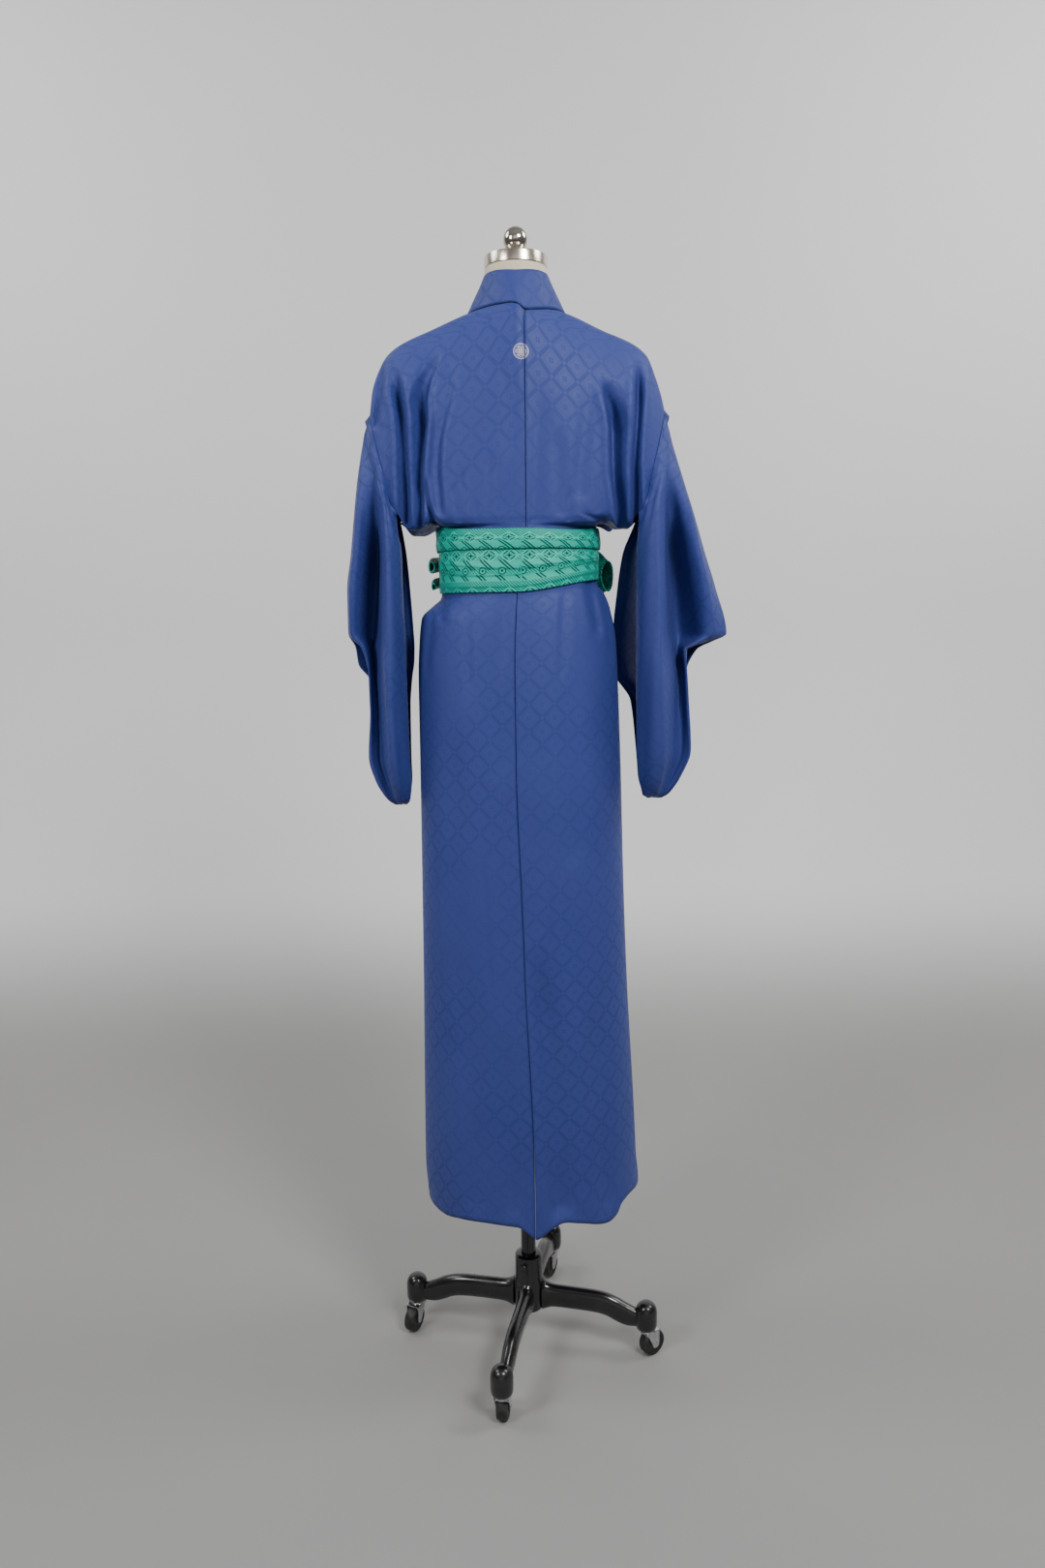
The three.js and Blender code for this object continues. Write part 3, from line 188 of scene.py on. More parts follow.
class Wiring:
    """Places nodes in a tree and joins them."""

    def __init__(self, tree):
        self.tree = tree

    def feed(self, socket, value):
        if isinstance(value, Value):
            self.tree.links.new(value.socket, socket)
        else:
            socket.default_value = value

    def node(self, kind, inputs=None, **settings):
        """A new node, as a function that gives its outputs by name."""
        made = self.tree.nodes.new(kind)
        for key, value in settings.items():
            setattr(made, key, value)
        for key, value in (inputs or {}).items():
            self.feed(made.inputs[key], value)
        return lambda output: Value(self, made.outputs[output])

    def noise(self, place, scale, detail):
        return self.node("ShaderNodeTexNoise", {"Vector": place, "Scale": scale, "Detail": detail})("Fac")

    def place(self):
        return self.node("ShaderNodeTexCoord")("Object")

    def split(self, place):
        parts = self.node("ShaderNodeSeparateXYZ", {"Vector": place})
        return parts("X"), parts("Y"), parts("Z")

    def group(self, tree, place, **inputs):
        return self.node("ShaderNodeGroup", {"Place": place, **inputs}, node_tree=tree)

    def between(self, share, first, second, colour=None):
        """Between two numbers or two colours. Where both are worked out, colour says which."""
        colour = isinstance(second, tuple) if colour is None else colour
        mixer = self.tree.nodes.new("ShaderNodeMix")
        mixer.data_type = "RGBA" if colour else "FLOAT"
        for at, value in zip((0, 6, 7) if colour else (0, 2, 3), (share, first, second)):
            self.feed(mixer.inputs[at], value)
        return Value(self, mixer.outputs[2 if colour else 0])

    def dress(self, looks, height=None, strength=0.0, distance=0.0):
        """Feeds the surface's inputs, and its bump where there is a height."""
        surface = self.tree.nodes["Principled BSDF"]
        for key, value in looks.items():
            self.feed(surface.inputs[key], value)
        if height:
            bump = self.node("ShaderNodeBump", {"Height": height, "Strength": strength, "Distance": distance})
            self.feed(surface.inputs["Normal"], bump("Normal"))


def effect(name, inputs, outputs):
    """An empty shader group: a place and named numbers go in, named numbers come out."""
    group = bpy.data.node_groups.new(name, "ShaderNodeTree")
    group.interface.new_socket("Place", in_out="INPUT", socket_type="NodeSocketVector")
    for label, value in inputs.items():
        socket = group.interface.new_socket(label, in_out="INPUT", socket_type="NodeSocketFloat")
        socket.default_value = value
    for label in outputs:
        group.interface.new_socket(label, in_out="OUTPUT", socket_type="NodeSocketFloat")
    inside = Wiring(group)
    return group, inside, inside.node("NodeGroupInput"), group.nodes.new("NodeGroupOutput").inputs


def finish(name):
    """A new material and its wiring."""
    made = bpy.data.materials.new(name)
    made.use_nodes = True
    return made, Wiring(made.node_tree)


# Dust and rubbed places, used by every hard finish.
handling, inside, start, end = effect("handling", {"Size": 30.0}, ["Dust", "Rub"])
inside.feed(end["Dust"], inside.noise(start("Place"), start("Size"), 4.0).ramp(0.42, 0.72))
inside.feed(end["Rub"], inside.noise(start("Place"), start("Size") * 9.0, 5.0).ramp(0.45, 0.65))

enamel, wire = finish("black enamel")
place = wire.place()
worn = wire.group(handling, place, Size=22.0)
wire.dress({"Base Color": wire.between(worn("Dust") * 0.35, (0.006, 0.006, 0.007, 1), (0.022, 0.021, 0.02, 1)),
            "Roughness": wire.between(worn("Dust"), 0.2, 0.36), "Coat Weight": 0.35, "Coat Roughness": 0.12},
           height=wire.noise(place, 140.0, 2.0), strength=0.25, distance=0.0008)


def keep(obj, body, slot, material, *nodes):
    """Gives a finished piece its material and its body, and hides the nodes that it stands for. The slot is not
    used.
    """
    obj.data.materials.clear()
    obj.data.materials.append(material)
    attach(obj, body)
    if nodes:
        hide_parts(*nodes)
    return obj


hub_points, hub_faces = turned(HUB_PROFILE, 48, closed=True)
keep(shaped("cast_hub", hub_points, hub_faces), "base", "black_enamel", enamel, "hub")


def curve_through(rows, count):
    """Rows of a short table, made finer along a smooth curve."""
    rows = np.asarray(rows, dtype=float)
    at = np.linspace(0, len(rows) - 1, count)
    padded_rows = np.vstack([2 * rows[0] - rows[1], rows, 2 * rows[-1] - rows[-2]])
    i = np.minimum(at.astype(int), len(rows) - 2)
    t = (at - i)[:, None]
    p0, p1, p2, p3 = (padded_rows[i + k] for k in range(4))
    return 0.5 * (2 * p1 + (p2 - p0) * t + (2 * p0 - 5 * p1 + 4 * p2 - p3) * t ** 2
                  + (3 * p1 - p0 - 3 * p2 + p3) * t ** 3)


# Half of an arm's section: share of the half width and share of the height from foot to top.
ARM_OUTLINE = [(0.0, 1.0), (0.22, 0.995), (0.5, 0.95), (0.78, 0.86), (0.95, 0.7), (1.0, 0.5), (0.97, 0.3),
               (0.86, 0.12), (0.62, 0.0), (0.0, 0.0)]
for name, angle, _ in ARMS:
    rings = []
    for reach, top, foot, half in curve_through(ARM_SECTIONS, 34):
        ring = [(reach, half * y, foot + (top - foot) * z) for y, z in ARM_OUTLINE]
        ring += [(reach, -half * y, foot + (top - foot) * z) for y, z in reversed(ARM_OUTLINE[1:-1])]
        rings.append(ring)
    beam, beam_faces = lofted(rings)
    boss, boss_faces = turned(BOSS_PROFILE, 40)
    boss[:, 0] += BOSS_REACH
    arm_points, arm_faces = joined((beam, beam_faces), (boss, boss_faces))
    arm = shaped("cast_arm_" + name, turn_about(arm_points, angle), arm_faces, 50)
    keep(arm, "base", "black_enamel", enamel, "arm_" + name)

# The clamp screw: a short hexagon-headed screw through the hub's wall.
SCREW_ANGLE = 72
SCREW_Z = 158
shank, shank_faces = turned([(0, 13.3), (3.4, 13.3), (3.4, 25), (0, 25)], 20)
head, head_faces = turned([(0, 24.3), (5.2, 24.3), (5.9, 25), (5.9, 30), (5.0, 31), (0, 31)], 6)
screw, screw_faces = joined((shank, shank_faces), (head, head_faces))
screw = np.stack([screw[:, 2], screw[:, 1], SCREW_Z - screw[:, 0]], axis=1)
screw = shaped("hub_clamp_screw", turn_about(screw, SCREW_ANGLE), screw_faces, 25)
keep(screw, "base", "black_enamel", enamel, "clamp_screw")


# ---- Casters ----
# Four swivel casters: a plated pressed-steel fork with its stem in the boss, and a solid rubber
# wheel on a riveted axle. The fork trails behind its stem.
TRAIL = 13
WHEEL_R = 23

chrome, wire = finish("caster plating")
worn = wire.group(handling, wire.place(), Size=60.0)
wire.dress({"Base Color": wire.between(worn("Dust"), (0.62, 0.62, 0.63, 1), (0.4, 0.39, 0.38, 1)),
            "Roughness": wire.between(worn("Rub"), 0.14, 0.3), "Metallic": 1.0})

rubber, wire = finish("caster rubber")
worn = wire.group(handling, wire.place(), Size=80.0)
wire.dress({"Base Color": wire.between(worn("Dust") * 0.6, (0.009, 0.009, 0.01, 1), (0.05, 0.047, 0.043, 1)),
            "Roughness": wire.between(worn("Rub"), 0.42, 0.62)},
           height=worn("Rub"), strength=0.2, distance=0.0004)

WHEEL_PROFILE = [(3.6, -10), (8, -10), (8.6, -9.2), (14.5, -8.6), (16.5, -9.8), (19, -9.8), (21.6, -8.6),
                 (22.9, -5.6), (23, 0), (22.9, 5.6), (21.6, 8.6), (19, 9.8), (16.5, 9.8), (14.5, 8.6),
                 (8.6, 9.2), (8, 10), (3.6, 10)]


def plate(outline, low, high):
    """A flat plate standing along X and Z, between two places across."""
    count = len(outline)
    points = [(x, y, z) for y in (low, high) for x, z in outline]
    faces = [(i, (i + 1) % count, count + (i + 1) % count, count + i) for i in range(count)]
    faces += [tuple(reversed(range(count))), tuple(range(count, 2 * count))]
    return np.array(points, dtype=float), faces


CHEEK = [(-10, 49.6), (-9.6, 46.5), (-4, 42), (3.5, 27.5), (5.2, 23), (6.8, 19.2), (9.6, 16.9), (13, 16.3),
         (16.4, 16.9), (19, 19.4), (19.8, 23), (20, 32), (20, 49.6)]
for name, angle, heading in ARMS:
    x = BOSS_REACH * math.cos(math.radians(angle))
    y = BOSS_REACH * math.sin(math.radians(angle))
    cup = turned([(0, 48), (12.4, 48), (13.3, 48.8), (13.5, 50.2), (12.6, 52.6), (11.6, 53.7), (4.5, 53.7),
                  (4.5, 84), (0, 84)], 36)
    deck = plate([(-11, 48.1), (20, 48.1), (20, 49.8), (-11, 49.8)], -12.4, 12.4)
    near, far = plate(CHEEK, 10.7, 12.4), plate(CHEEK, -12.4, -10.7)
    pin, pin_faces = turned([(0, -13.4), (2.2, -13.4), (3.3, -12.8), (3.3, 12.8), (2.2, 13.4), (0, 13.4)], 20)
    pin = np.stack([pin[:, 0] + TRAIL, -pin[:, 2], pin[:, 1] + WHEEL_R], axis=1)
    fork_points, fork_faces = joined(cup, deck, near, far, (pin, pin_faces))
    fork = shaped("caster_fork_" + name, turn_about(fork_points, heading, x, y), fork_faces, 30)
    keep(fork, "caster_" + name, "caster_chrome", chrome, "fork_" + name)
    wheel, wheel_faces = turned(WHEEL_PROFILE, 40, closed=True)
    wheel = np.stack([wheel[:, 0] + TRAIL, -wheel[:, 2], wheel[:, 1] + WHEEL_R], axis=1)
    roller = shaped("caster_wheel_" + name, turn_about(wheel, heading, x, y), wheel_faces, 35)
    keep(roller, "roller_" + name, "caster_rubber", rubber, "wheel_" + name)


# ---- Pole ----
# One black enamelled steel tube. It slides in the hub, where the clamp screw holds it, and its top
# carries the form.
pole, pole_faces = turned([(0, 78), (12.2, 78), (13, 79), (13, 1149), (12.2, 1150), (0, 1150)], 40)
keep(shaped("stand_pole", pole, pole_faces), "mast", "black_enamel", enamel, "pole")


# ---- Dress form ----
# A limbless torso and neck under stretched cream cloth, capped with a brushed steel plate and a
# polished ball. The robe rests on its shoulders.
TORSO = [(1040, 140, 97, 94, 1), (1044, 146, 101, 98, 1), (1150, 151, 108, 104, 1), (1225, 149, 105, 102, 1),
         (1285, 137, 98, 96, 1), (1340, 113, 90, 87, 1), (1440, 110, 87, 84, 1), (1490, 127, 91, 87, 1),
         (1540, 147, 94, 91, 1), (1590, 164, 93, 92, 1), (1640, 177, 89.5, 86, 1.02), (1668, 183, 85, 78, 1.08),
         (1687, 184, 81.5, 71, 1.2), (1701, 177.5, 78, 66, 1.3), (1712, 161, 75.5, 61, 1.4),
         (1722, 138.5, 70, 57, 1.45), (1733, 111, 65, 54, 1.45), (1746, 75, 57, 52, 1.15)]

linen, wire = finish("form cover")
place = wire.place()
threads = wire.node("ShaderNodeTexWave", {"Vector": place, "Scale": 420.0, "Distortion": 1.5},
                    bands_direction="Z")
wire.dress({"Base Color": wire.between(wire.noise(place, 14.0, 5.0).ramp(0.3, 0.7), (0.62, 0.55, 0.40, 1),
                                       (0.74, 0.68, 0.53, 1)), "Roughness": 0.88},
           height=threads("Fac") + wire.noise(place, 1300.0, 2.0), strength=0.3, distance=0.0004)

rings = []
for z, half, back, forward, square in curve_through(TORSO, 90):
    around = np.linspace(0, 2 * math.pi, 72, endpoint=False)
    sine, cosine = np.sin(around), np.cos(around)
    depth = np.where(cosine > 0, back, forward)
    ring = np.stack([half * np.sign(sine) * np.abs(sine) ** square,
                     depth * np.sign(cosine) * np.abs(cosine) ** square, np.full(72, z)], axis=1)
    rings.append(ring[::-1])
torso_points, torso_faces = lofted(rings)
torso_points[:, :2] *= 0.997
keep(shaped("form_torso", torso_points, torso_faces, 60), "form", "form_cover", linen, "torso")

neck, neck_faces = turned([(0, 1746.3), (52.5, 1746.3), (53, 1747), (51, 1768), (49.5, 1798), (48.6, 1826.6),
                           (47.6, 1828), (0, 1828)], 64)
keep(shaped("form_neck", neck, neck_faces, 50), "form", "form_cover", linen, "neck")

steel, wire = finish("brushed steel")
place = wire.place()
stretch = wire.node("ShaderNodeMapping", {"Vector": place, "Scale": (60.0, 60.0, 2600.0)})
brushing = wire.noise(stretch("Vector"), 1.0, 6.0)
worn = wire.group(handling, place, Size=18.0)
wire.dress({"Base Color": wire.between(brushing, (0.55, 0.49, 0.41, 1), (0.78, 0.71, 0.61, 1)),
            "Roughness": wire.between(worn("Dust"), 0.2, 0.28), "Metallic": 1.0},
           height=brushing, strength=0.12, distance=0.0003)

cap, cap_faces = turned([(0, 1828.3), (48.2, 1828.3), (49, 1829), (49, 1843.2), (48.6, 1844.6), (47.2, 1845.3),
                         (30, 1846.1), (14, 1846.7), (0, 1846.8)], 72)
keep(shaped("form_neck_cap", cap, cap_faces, 40), "form", "brushed_steel", steel, "neck_cap")

mirror_steel, wire = finish("polished steel")
worn = wire.group(handling, wire.place(), Size=40.0)
wire.dress({"Base Color": wire.between(worn("Dust"), (0.74, 0.70, 0.64, 1), (0.6, 0.55, 0.48, 1)),
            "Roughness": wire.between(worn("Rub"), 0.1, 0.16), "Metallic": 1.0})

ball_profile = [(0, 1847.1), (11, 1847.1), (11.2, 1848), (9.4, 1849.4), (7.6, 1851), (7.4, 1852.4)]
BALL_R, BALL_Z = 19.5, 1870.5
ball_profile += [(BALL_R * math.cos(a), BALL_Z + BALL_R * math.sin(a))
                 for a in np.linspace(-1.16, math.pi / 2, 22)[:-1]]
ball, ball_faces = turned(ball_profile + [(0, 1890)], 48)
keep(shaped("form_finial", ball, ball_faces, 40), "form", "polished_steel", mirror_steel, "finial")


# ---- Robe body ----
# Two widths of blue figured silk, each one length of cloth that runs from the back hem over the
# shoulder to the front hem, sewn together down the centre back. Bloused over the sash.


def table(columns, *rows):
    """The columns of a short table, by name."""
    return dict(zip(columns.split(), np.array(rows, dtype=float).T))


RING = table(
    "z left right back front side spine",
    (288, 174, 195, 150, 140, 98, -12), (360, 178, 191, 148, 138, 98, -12), (450, 177, 187, 145, 136, 99, -11),
    (690, 173, 174, 137, 130, 101, -2), (860, 171, 168, 131, 125, 103, 3), (1060, 169, 163, 124, 120, 106, 9),
    (1200, 168, 158, 119, 116, 108, 9), (1255, 165, 155, 115, 113, 108, 8), (1295, 160, 145, 110, 108, 107, 6),
    (1316, 139, 134, 106, 104, 106, 5), (1326, 128, 125, 103.5, 101.5, 104, 4),
    (1336, 126.5, 123.5, 103, 101, 103, 4), (1358, 126.5, 123.5, 103, 100.5, 100, 0),
    (1428, 126.5, 123.5, 101, 99, 96, -10), (1442, 128, 126, 98, 96, 84, -11),
    (1448, 198, 196, 98, 97, 62, -11), (1458, 230, 227, 99, 98, 55.1, -11),
    (1476, 246, 242, 99, 99, 55.1, -11), (1500, 250, 248, 99, 100, 55.1, -11))
SHOULDER = table(
    "x left right arch",
    (0, 1786, 1786, 0.25), (50, 1764, 1763, 0.45), (79, 1756.5, 1755.5, 0.6), (135, 1735.5, 1732, 0.78),
    (178, 1718, 1714.5, 0.87), (202, 1701, 1696, 0.9), (217, 1677, 1662, 0.95), (227, 1650, 1631, 1),
    (234, 1604, 1600, 1), (245, 1545, 1560, 1))
HEM_LINE = table(
    "x z",
    (-196, 317), (-176, 322), (-160, 316), (-150, 300), (-136, 293), (-86, 307), (-59, 313), (-41, 305),
    (-14, 288), (2, 300), (17, 310), (60, 312), (114, 306), (140, 300), (174, 299))
FRONT = table(
    "z okumi edge free",
    (288, 184, 235, 235), (700, 190, 241, 241), (955, 198, 246, 246), (1088, 203, 248.5, 249),
    (1150, 206, 232, 250), (1200, 208, 229, 250), (1300, 210, 226, 250), (1362, 210, 221, 250),
    (1430, 208, 216, 248), (1442, 207, 214, 246), (1448, 201, 206, 228), (1458, 199, 202, 223),
    (1478, 197.8, 198.4, 218), (1500, 196.5, 196.5, 213.5))
NECKLINE = table(
    "turn angle",
    (90, 163.9), (105, 164.8), (120, 166.8), (135, 171), (154.5, 180), (165, 186.5), (180, 196.5))

# Creases: places down each one as height and distance from the pole to the wearer's left, then half
# width, depth, and how much the flank on that side is the steeper.
BACK_CREASES = [
    (((1700, 116), (1669, 127), (1650, 137), (1622, 143), (1591, 142), (1544, 148), (1497, 153), (1437, 154)),
     7.5, 26, -0.8),
    (((1680, 187), (1638, 183), (1605, 178), (1571, 177), (1523, 178), (1443, 177)), 7.5, 22, 0.0),
    (((1690, 209), (1640, 215), (1585, 221)), 6, 9, 0.2),
    (((1685, 98), (1635, 101), (1599, 112), (1565, 120), (1519, 124), (1450, 120)), 8, 7, -0.6),
    (((1512, 144), (1472, 140), (1458, 136), (1430, 130)), 5, 12, -0.5),
    (((1525, 85), (1437, 86)), 5, 2.2, 0.2), (((1545, 42), (1437, 42)), 7, 1.8, 0.0),
    (((1655, -128), (1606, -142), (1576, -148), (1540, -148), (1505, -149), (1470, -154), (1430, -159)),
     9, 30, 0.8),
    (((1692, -178), (1655, -187), (1627, -187), (1591, -184), (1555, -181), (1526, -179), (1431, -182)),
     6.5, 20, -0.2),
    (((1462, -98), (1450, -118), (1436, -134)), 7, 5, 0.0),
    (((1655, -104), (1587, -102), (1470, -92)), 12, 3, 0.0),
    (((1640, -34), (1516, -30), (1436, -20)), 10, 2.4, 0.6),
    (((1690, 18), (1600, 12), (1540, 14)), 12, 1.6, 0.0), (((800, -15), (288, -56)), 17, 8, 0.5),
    (((1345, -106), (1262, -124)), 9, 8, 0.3), (((1340, 120), (1286, 127)), 8, 5, 0.0),
    (((1500, 100), (1446, 92)), 5, 2.0, 0.2), (((1478, 66), (1446, 62)), 4, 1.4, 0.0),
    (((1585, -58), (1450, -66)), 12, 2.2, 0.2), (((1490, -78), (1446, -74)), 5, 1.7, 0.3),
    (((940, 68), (700, 55)), 3.2, 1.8, 0.8), (((905, -48), (770, -43)), 3.0, 1.7, -0.8),
    (((1300, 40), (1040, 36)), 14, 1.4, 0.0), (((1240, -72), (900, -80)), 18, 2.4, 0.0),
    (((1200, 108), (560, 118)), 20, 2.6, 0.0), (((760, 92), (300, 84)), 18, 2.8, 0.3),
    (((700, -112), (300, -128)), 16, 3.2, 0.3), (((640, 34), (300, 26)), 14, 2.0, 0.0),
    (((1330, 84), (1180, 80)), 6, 1.6, 0.2), (((1330, 30), (1210, 28)), 6, 1.2, 0.0),
    (((1340, -70), (1200, -60)), 7, 2.4, 0.4), (((1334, -128), (1230, -146)), 6, 4.0, 0.0),
    (((1330, 136), (1205, 150)), 6, 3.4, 0.0)]
FRONT_CREASES = [
    (((1690, 150), (1458, 168)), 10, 8, 0.2), (((1690, -150), (1458, -166)), 10, 8, 0.2),
    (((1660, 118), (1456, 96)), 9, 5, 0.3), (((1640, -112), (1452, -104)), 9, 5, 0.2),
    (((1560, 66), (1450, 60)), 9, 3, 0.2), (((1540, -138), (1448, -128)), 8, 4, 0.0),
    (((1335, 104), (1120, 116)), 9, 4, 0.3), (((1332, 62), (1150, 74)), 8, 3, 0.2),
    (((1335, -112), (1130, -120)), 9, 4, 0.2), (((1330, 18), (1100, 4)), 8, 2.4, 0.3),
    (((1330, -58), (1160, -64)), 8, 2.6, 0.0), (((1180, 124), (560, 132)), 20, 3.2, 0.0),
    (((1040, 66), (420, 74)), 18, 2.8, 0.2), (((1100, -108), (500, -116)), 20, 3.2, 0.0),
    (((820, 20), (290, 12)), 18, 4, 0.4), (((700, -62), (290, -74)), 18, 3.4, 0.3),
    (((620, 108), (290, 100)), 18, 3.0, 0.0)]
YOKE, HEM_FOOT = 1500.0, 288.0
# The shoulder seam's turn at the nape, the yoke's angle at the armhole, how much wider the shoulder
# is than the yoke, and the least distance of the cloth from the form.
NAPE, ARMHOLE_ANGLE, FLARE, CLEAR = 63.0, 55.1, 0.137, 2.2


def smooth(table, name, place):
    """Value of one column of a table at a place along its first column, without overshoot."""
    at = table[next(iter(table))]
    values = table[name]
    steps = np.diff(at)
    slopes = np.diff(values) / steps
    product = slopes[:-1] * slopes[1:]
    total = slopes[:-1] + slopes[1:]
    inner = np.where(product <= 0, 0.0, 2 * product / np.where(total == 0, 1.0, total))
    tangents = np.concatenate([[slopes[0]], inner, [slopes[-1]]])
    x = np.clip(place, at[0], at[-1])
    i = np.clip(np.searchsorted(at, x, side="left") - 1, 0, len(at) - 2)
    t = (x - at[i]) / steps[i]
    return (values[i] * (2 * t ** 3 - 3 * t ** 2 + 1) + tangents[i] * steps[i] * (t ** 3 - 2 * t ** 2 + t)
            + values[i + 1] * (3 * t ** 2 - 2 * t ** 3) + tangents[i + 1] * steps[i] * (t ** 3 - t ** 2))


def ease(low, high, value):
    """0 at low, 1 at high, smooth between."""
    share = np.clip((value - low) / (high - low), 0, 1)
    return share * share * (3 - 2 * share)


def mix(a, b, share):
    return a + (b - a) * share


def creased(creases, x, z):
    """How far the creases draw the cloth in at a place."""
    depth = np.zeros(np.broadcast(x, z).shape)
    for number, (path, half, deep, steep) in enumerate(creases):
        heights, places = np.array(path[::-1], dtype=float).T
        along = (heights[-1] - z) / (heights[-1] - heights[0])
        wander = half * 0.18 * np.sin(along * 4.4 + number * 1.7)
        middle = np.interp(z, heights, places) + wander * ease(0, 0.4, along)
        grown = ease(0, 0.28, along) * (1 - ease(0.92, 1, along)) * (1 + 0.16 * np.sin(along * 7 + number))
        off = (x - middle) / half
        off = off * (1 + 0.55 * steep * np.tanh(off))
        profile = 1.1 * np.exp(-off * off) - 0.2 * np.exp(-(np.abs(off) - 1.9) ** 2)
        depth = depth + deep * np.where(along > 0, grown, 0) * profile
    return depth


def half_width(x_sign, z):
    return np.where(x_sign >= 0, smooth(RING, "left", z), smooth(RING, "right", z))


def sash_tilt(x, z):
    """Rise of the waist under the sash's lower edge, towards the wearer's right."""
    return 20 * ease(10, -150, x) * ease(1240, 1326, z) * ease(1410, 1345, z)


def bag_drop(x, z):
    """How far the blouse's loose cloth hangs down at both sides of the sash."""
    across = ease(125, 160, np.abs(x)) * (1 - ease(174, 192, np.abs(x)))
    return 16 * across * ease(1442, 1448, z) * (1 - ease(1450, 1490, z))


TORSO_ROWS = table("z half back front square", *TORSO)


def resting(x, y, z):
    """Keeps the cloth just clear of the form beneath it."""
    half, square = smooth(TORSO_ROWS, "half", z), smooth(TORSO_ROWS, "square", z)
    across = 1 - np.clip(np.abs(x) / half, 0, 1) ** (2 / square)
    depth = np.where(y > 0, smooth(TORSO_ROWS, "back", z), smooth(TORSO_ROWS, "front", z))
    reach = depth * across ** (square / 2) + CLEAR
    lifted = reach + np.logaddexp(0, (np.abs(y) - reach) * 1.6) / 1.6
    touching = (z > 1440) & (z < 1744) & (across > 0)
    return np.where(touching, np.sign(y) * np.maximum(np.abs(y), lifted), y)


def ring_point(side, z, angle, lift):
    """Cloth below the yoke, by height and degrees from the centre back."""
    sine, cosine = np.sin(np.radians(angle)), np.cos(np.radians(angle))
    wide = half_width(side * sine, z)
    hem = mix(smooth(HEM_LINE, "z", side * sine * wide), 300, ease(0, 0.5, -cosine))
    height = z + (hem - 288) * (1 - ease(288, 380, z))
    x = side * sine * (wide + lift)
    depth = np.where(cosine >= 0, smooth(RING, "back", z), smooth(RING, "front", z))
    behind = creased(BACK_CREASES, x, z) * ease(0, 0.25, cosine)
    before = creased(FRONT_CREASES, x, z) * ease(0, 0.3, -cosine)
    before = before * (1 - ease(1360, 1380, z) * (1 - ease(1440, 1446, z)))
    shelf = ease(1432, 1442, z) * (1 - ease(1458, 1480, z))
    y = cosine * (depth + lift) - behind + before
    settled = 9 * ease(-0.05, 0.3, cosine) * (1 - ease(112, 138, np.abs(x)))
    settled = settled * ease(1400, 1442, z) * (1 - ease(1455, 1498, z))
    height = height + sash_tilt(x, z) - bag_drop(x, z) - settled - lift * shelf * 1.4
    return np.stack([x, resting(x, y, z), height], axis=-1)


def arch_point(side, turn, angle, lift):
    """Cloth over the shoulder, by turn: 0 at the back yoke, 180 at the front yoke."""
    sine, cosine = np.sin(np.radians(angle)), np.cos(np.radians(angle))
    rise = np.sin(np.radians(turn))
    near = side * sine >= 0
    wide = sine * half_width(side * sine, YOKE)
    distance = np.abs(wide) * (1 + FLARE)
    top = np.where(near, smooth(SHOULDER, "left", distance), smooth(SHOULDER, "right", distance))
    z = YOKE + (top + lift - YOKE) * rise
    x = side * wide * (1 + FLARE * rise)
    behind = turn <= 90
    edge = np.where(behind, 99.0, -100.0) * np.abs(cosine)
    share = np.abs(np.cos(np.radians(turn))) ** smooth(SHOULDER, "arch", distance)
    fold = np.where(behind, creased(BACK_CREASES, x, z) * (1 - ease(60, 88, turn)),
                    -creased(FRONT_CREASES, x, z) * (1 - ease(120, 92, turn)))
    across, up = (distance - 72) / 62, (z - 1585) / 62
    bust = np.where(behind, 0, 10 * np.exp(-across ** 2 - up ** 2) * ease(1500, 1530, z)) * share
    y = 5 * (1 - share) + edge * share + np.where(behind, 1, -1) * lift * share - fold - bust
    y = mix(y, resting(x, y, z), ease(0, 0.3, share))
    return np.stack([x, y, z], axis=-1)


def skin(side, station, angle, lift):
    """The whole of one side: 0 to 1 up the back, 1 to 2 over the shoulder, 2 to 3 down the front."""
    station, angle, lift = np.broadcast_arrays(station, angle, lift)
    back = ring_point(side, mix(HEM_FOOT, YOKE, np.clip(station, 0, 1)), angle, lift)
    arch = arch_point(side, (np.clip(station, 1, 2) - 1) * 180, angle, lift)
    fore = ring_point(side, mix(YOKE, HEM_FOOT, np.clip(station - 2, 0, 1)), angle, lift)
    return np.where((station < 1)[..., None], back, np.where((station > 2)[..., None], fore, arch))


def height_at(station):
    return np.where(station < 1, mix(HEM_FOOT, YOKE, station), mix(YOKE, HEM_FOOT, station - 2))


def back_station(z):
    return (z - HEM_FOOT) / (YOKE - HEM_FOOT)


def front_station(z):
    return 2 + (YOKE - z) / (YOKE - HEM_FOOT)


def lap_lift(side, station, angle):
    """The left front laps over the right front."""
    return side * 2.5 * np.where(station < 2, ease(1.5, 1.68, station), ease(99, 117, angle))


def spine_angle(side, station):
    z = np.where(station < 1, height_at(station), YOKE)
    spine = smooth(RING, "spine", z)
    return np.degrees(np.arcsin(side * spine / half_width(spine, z)))


def inner_angle(side, station):
    turn = (station - 1) * 180
    spine = spine_angle(side, station)
    share = np.clip((turn - NAPE) / (90 - NAPE), 0, 1) ** 0.75
    over = np.where(turn <= 90, mix(spine, 16.1, share), smooth(NECKLINE, "angle", turn))
    over = np.where(turn <= NAPE, spine, over)
    down = smooth(FRONT, "okumi", height_at(station))
    return np.where(station < 1, spine, np.where(station <= 2, over, down))


def outer_angle(station):
    z = height_at(station)
    angle = smooth(RING, "side", z)
    fore = np.where(z > 1362, mix(angle, 180 - angle, ease(1430, 1458, z)), angle)
    arch = np.where(station <= 1.5, ARMHOLE_ANGLE, 180 - ARMHOLE_ANGLE)
    return np.where(station < 1, angle, np.where(station > 2, fore, arch))


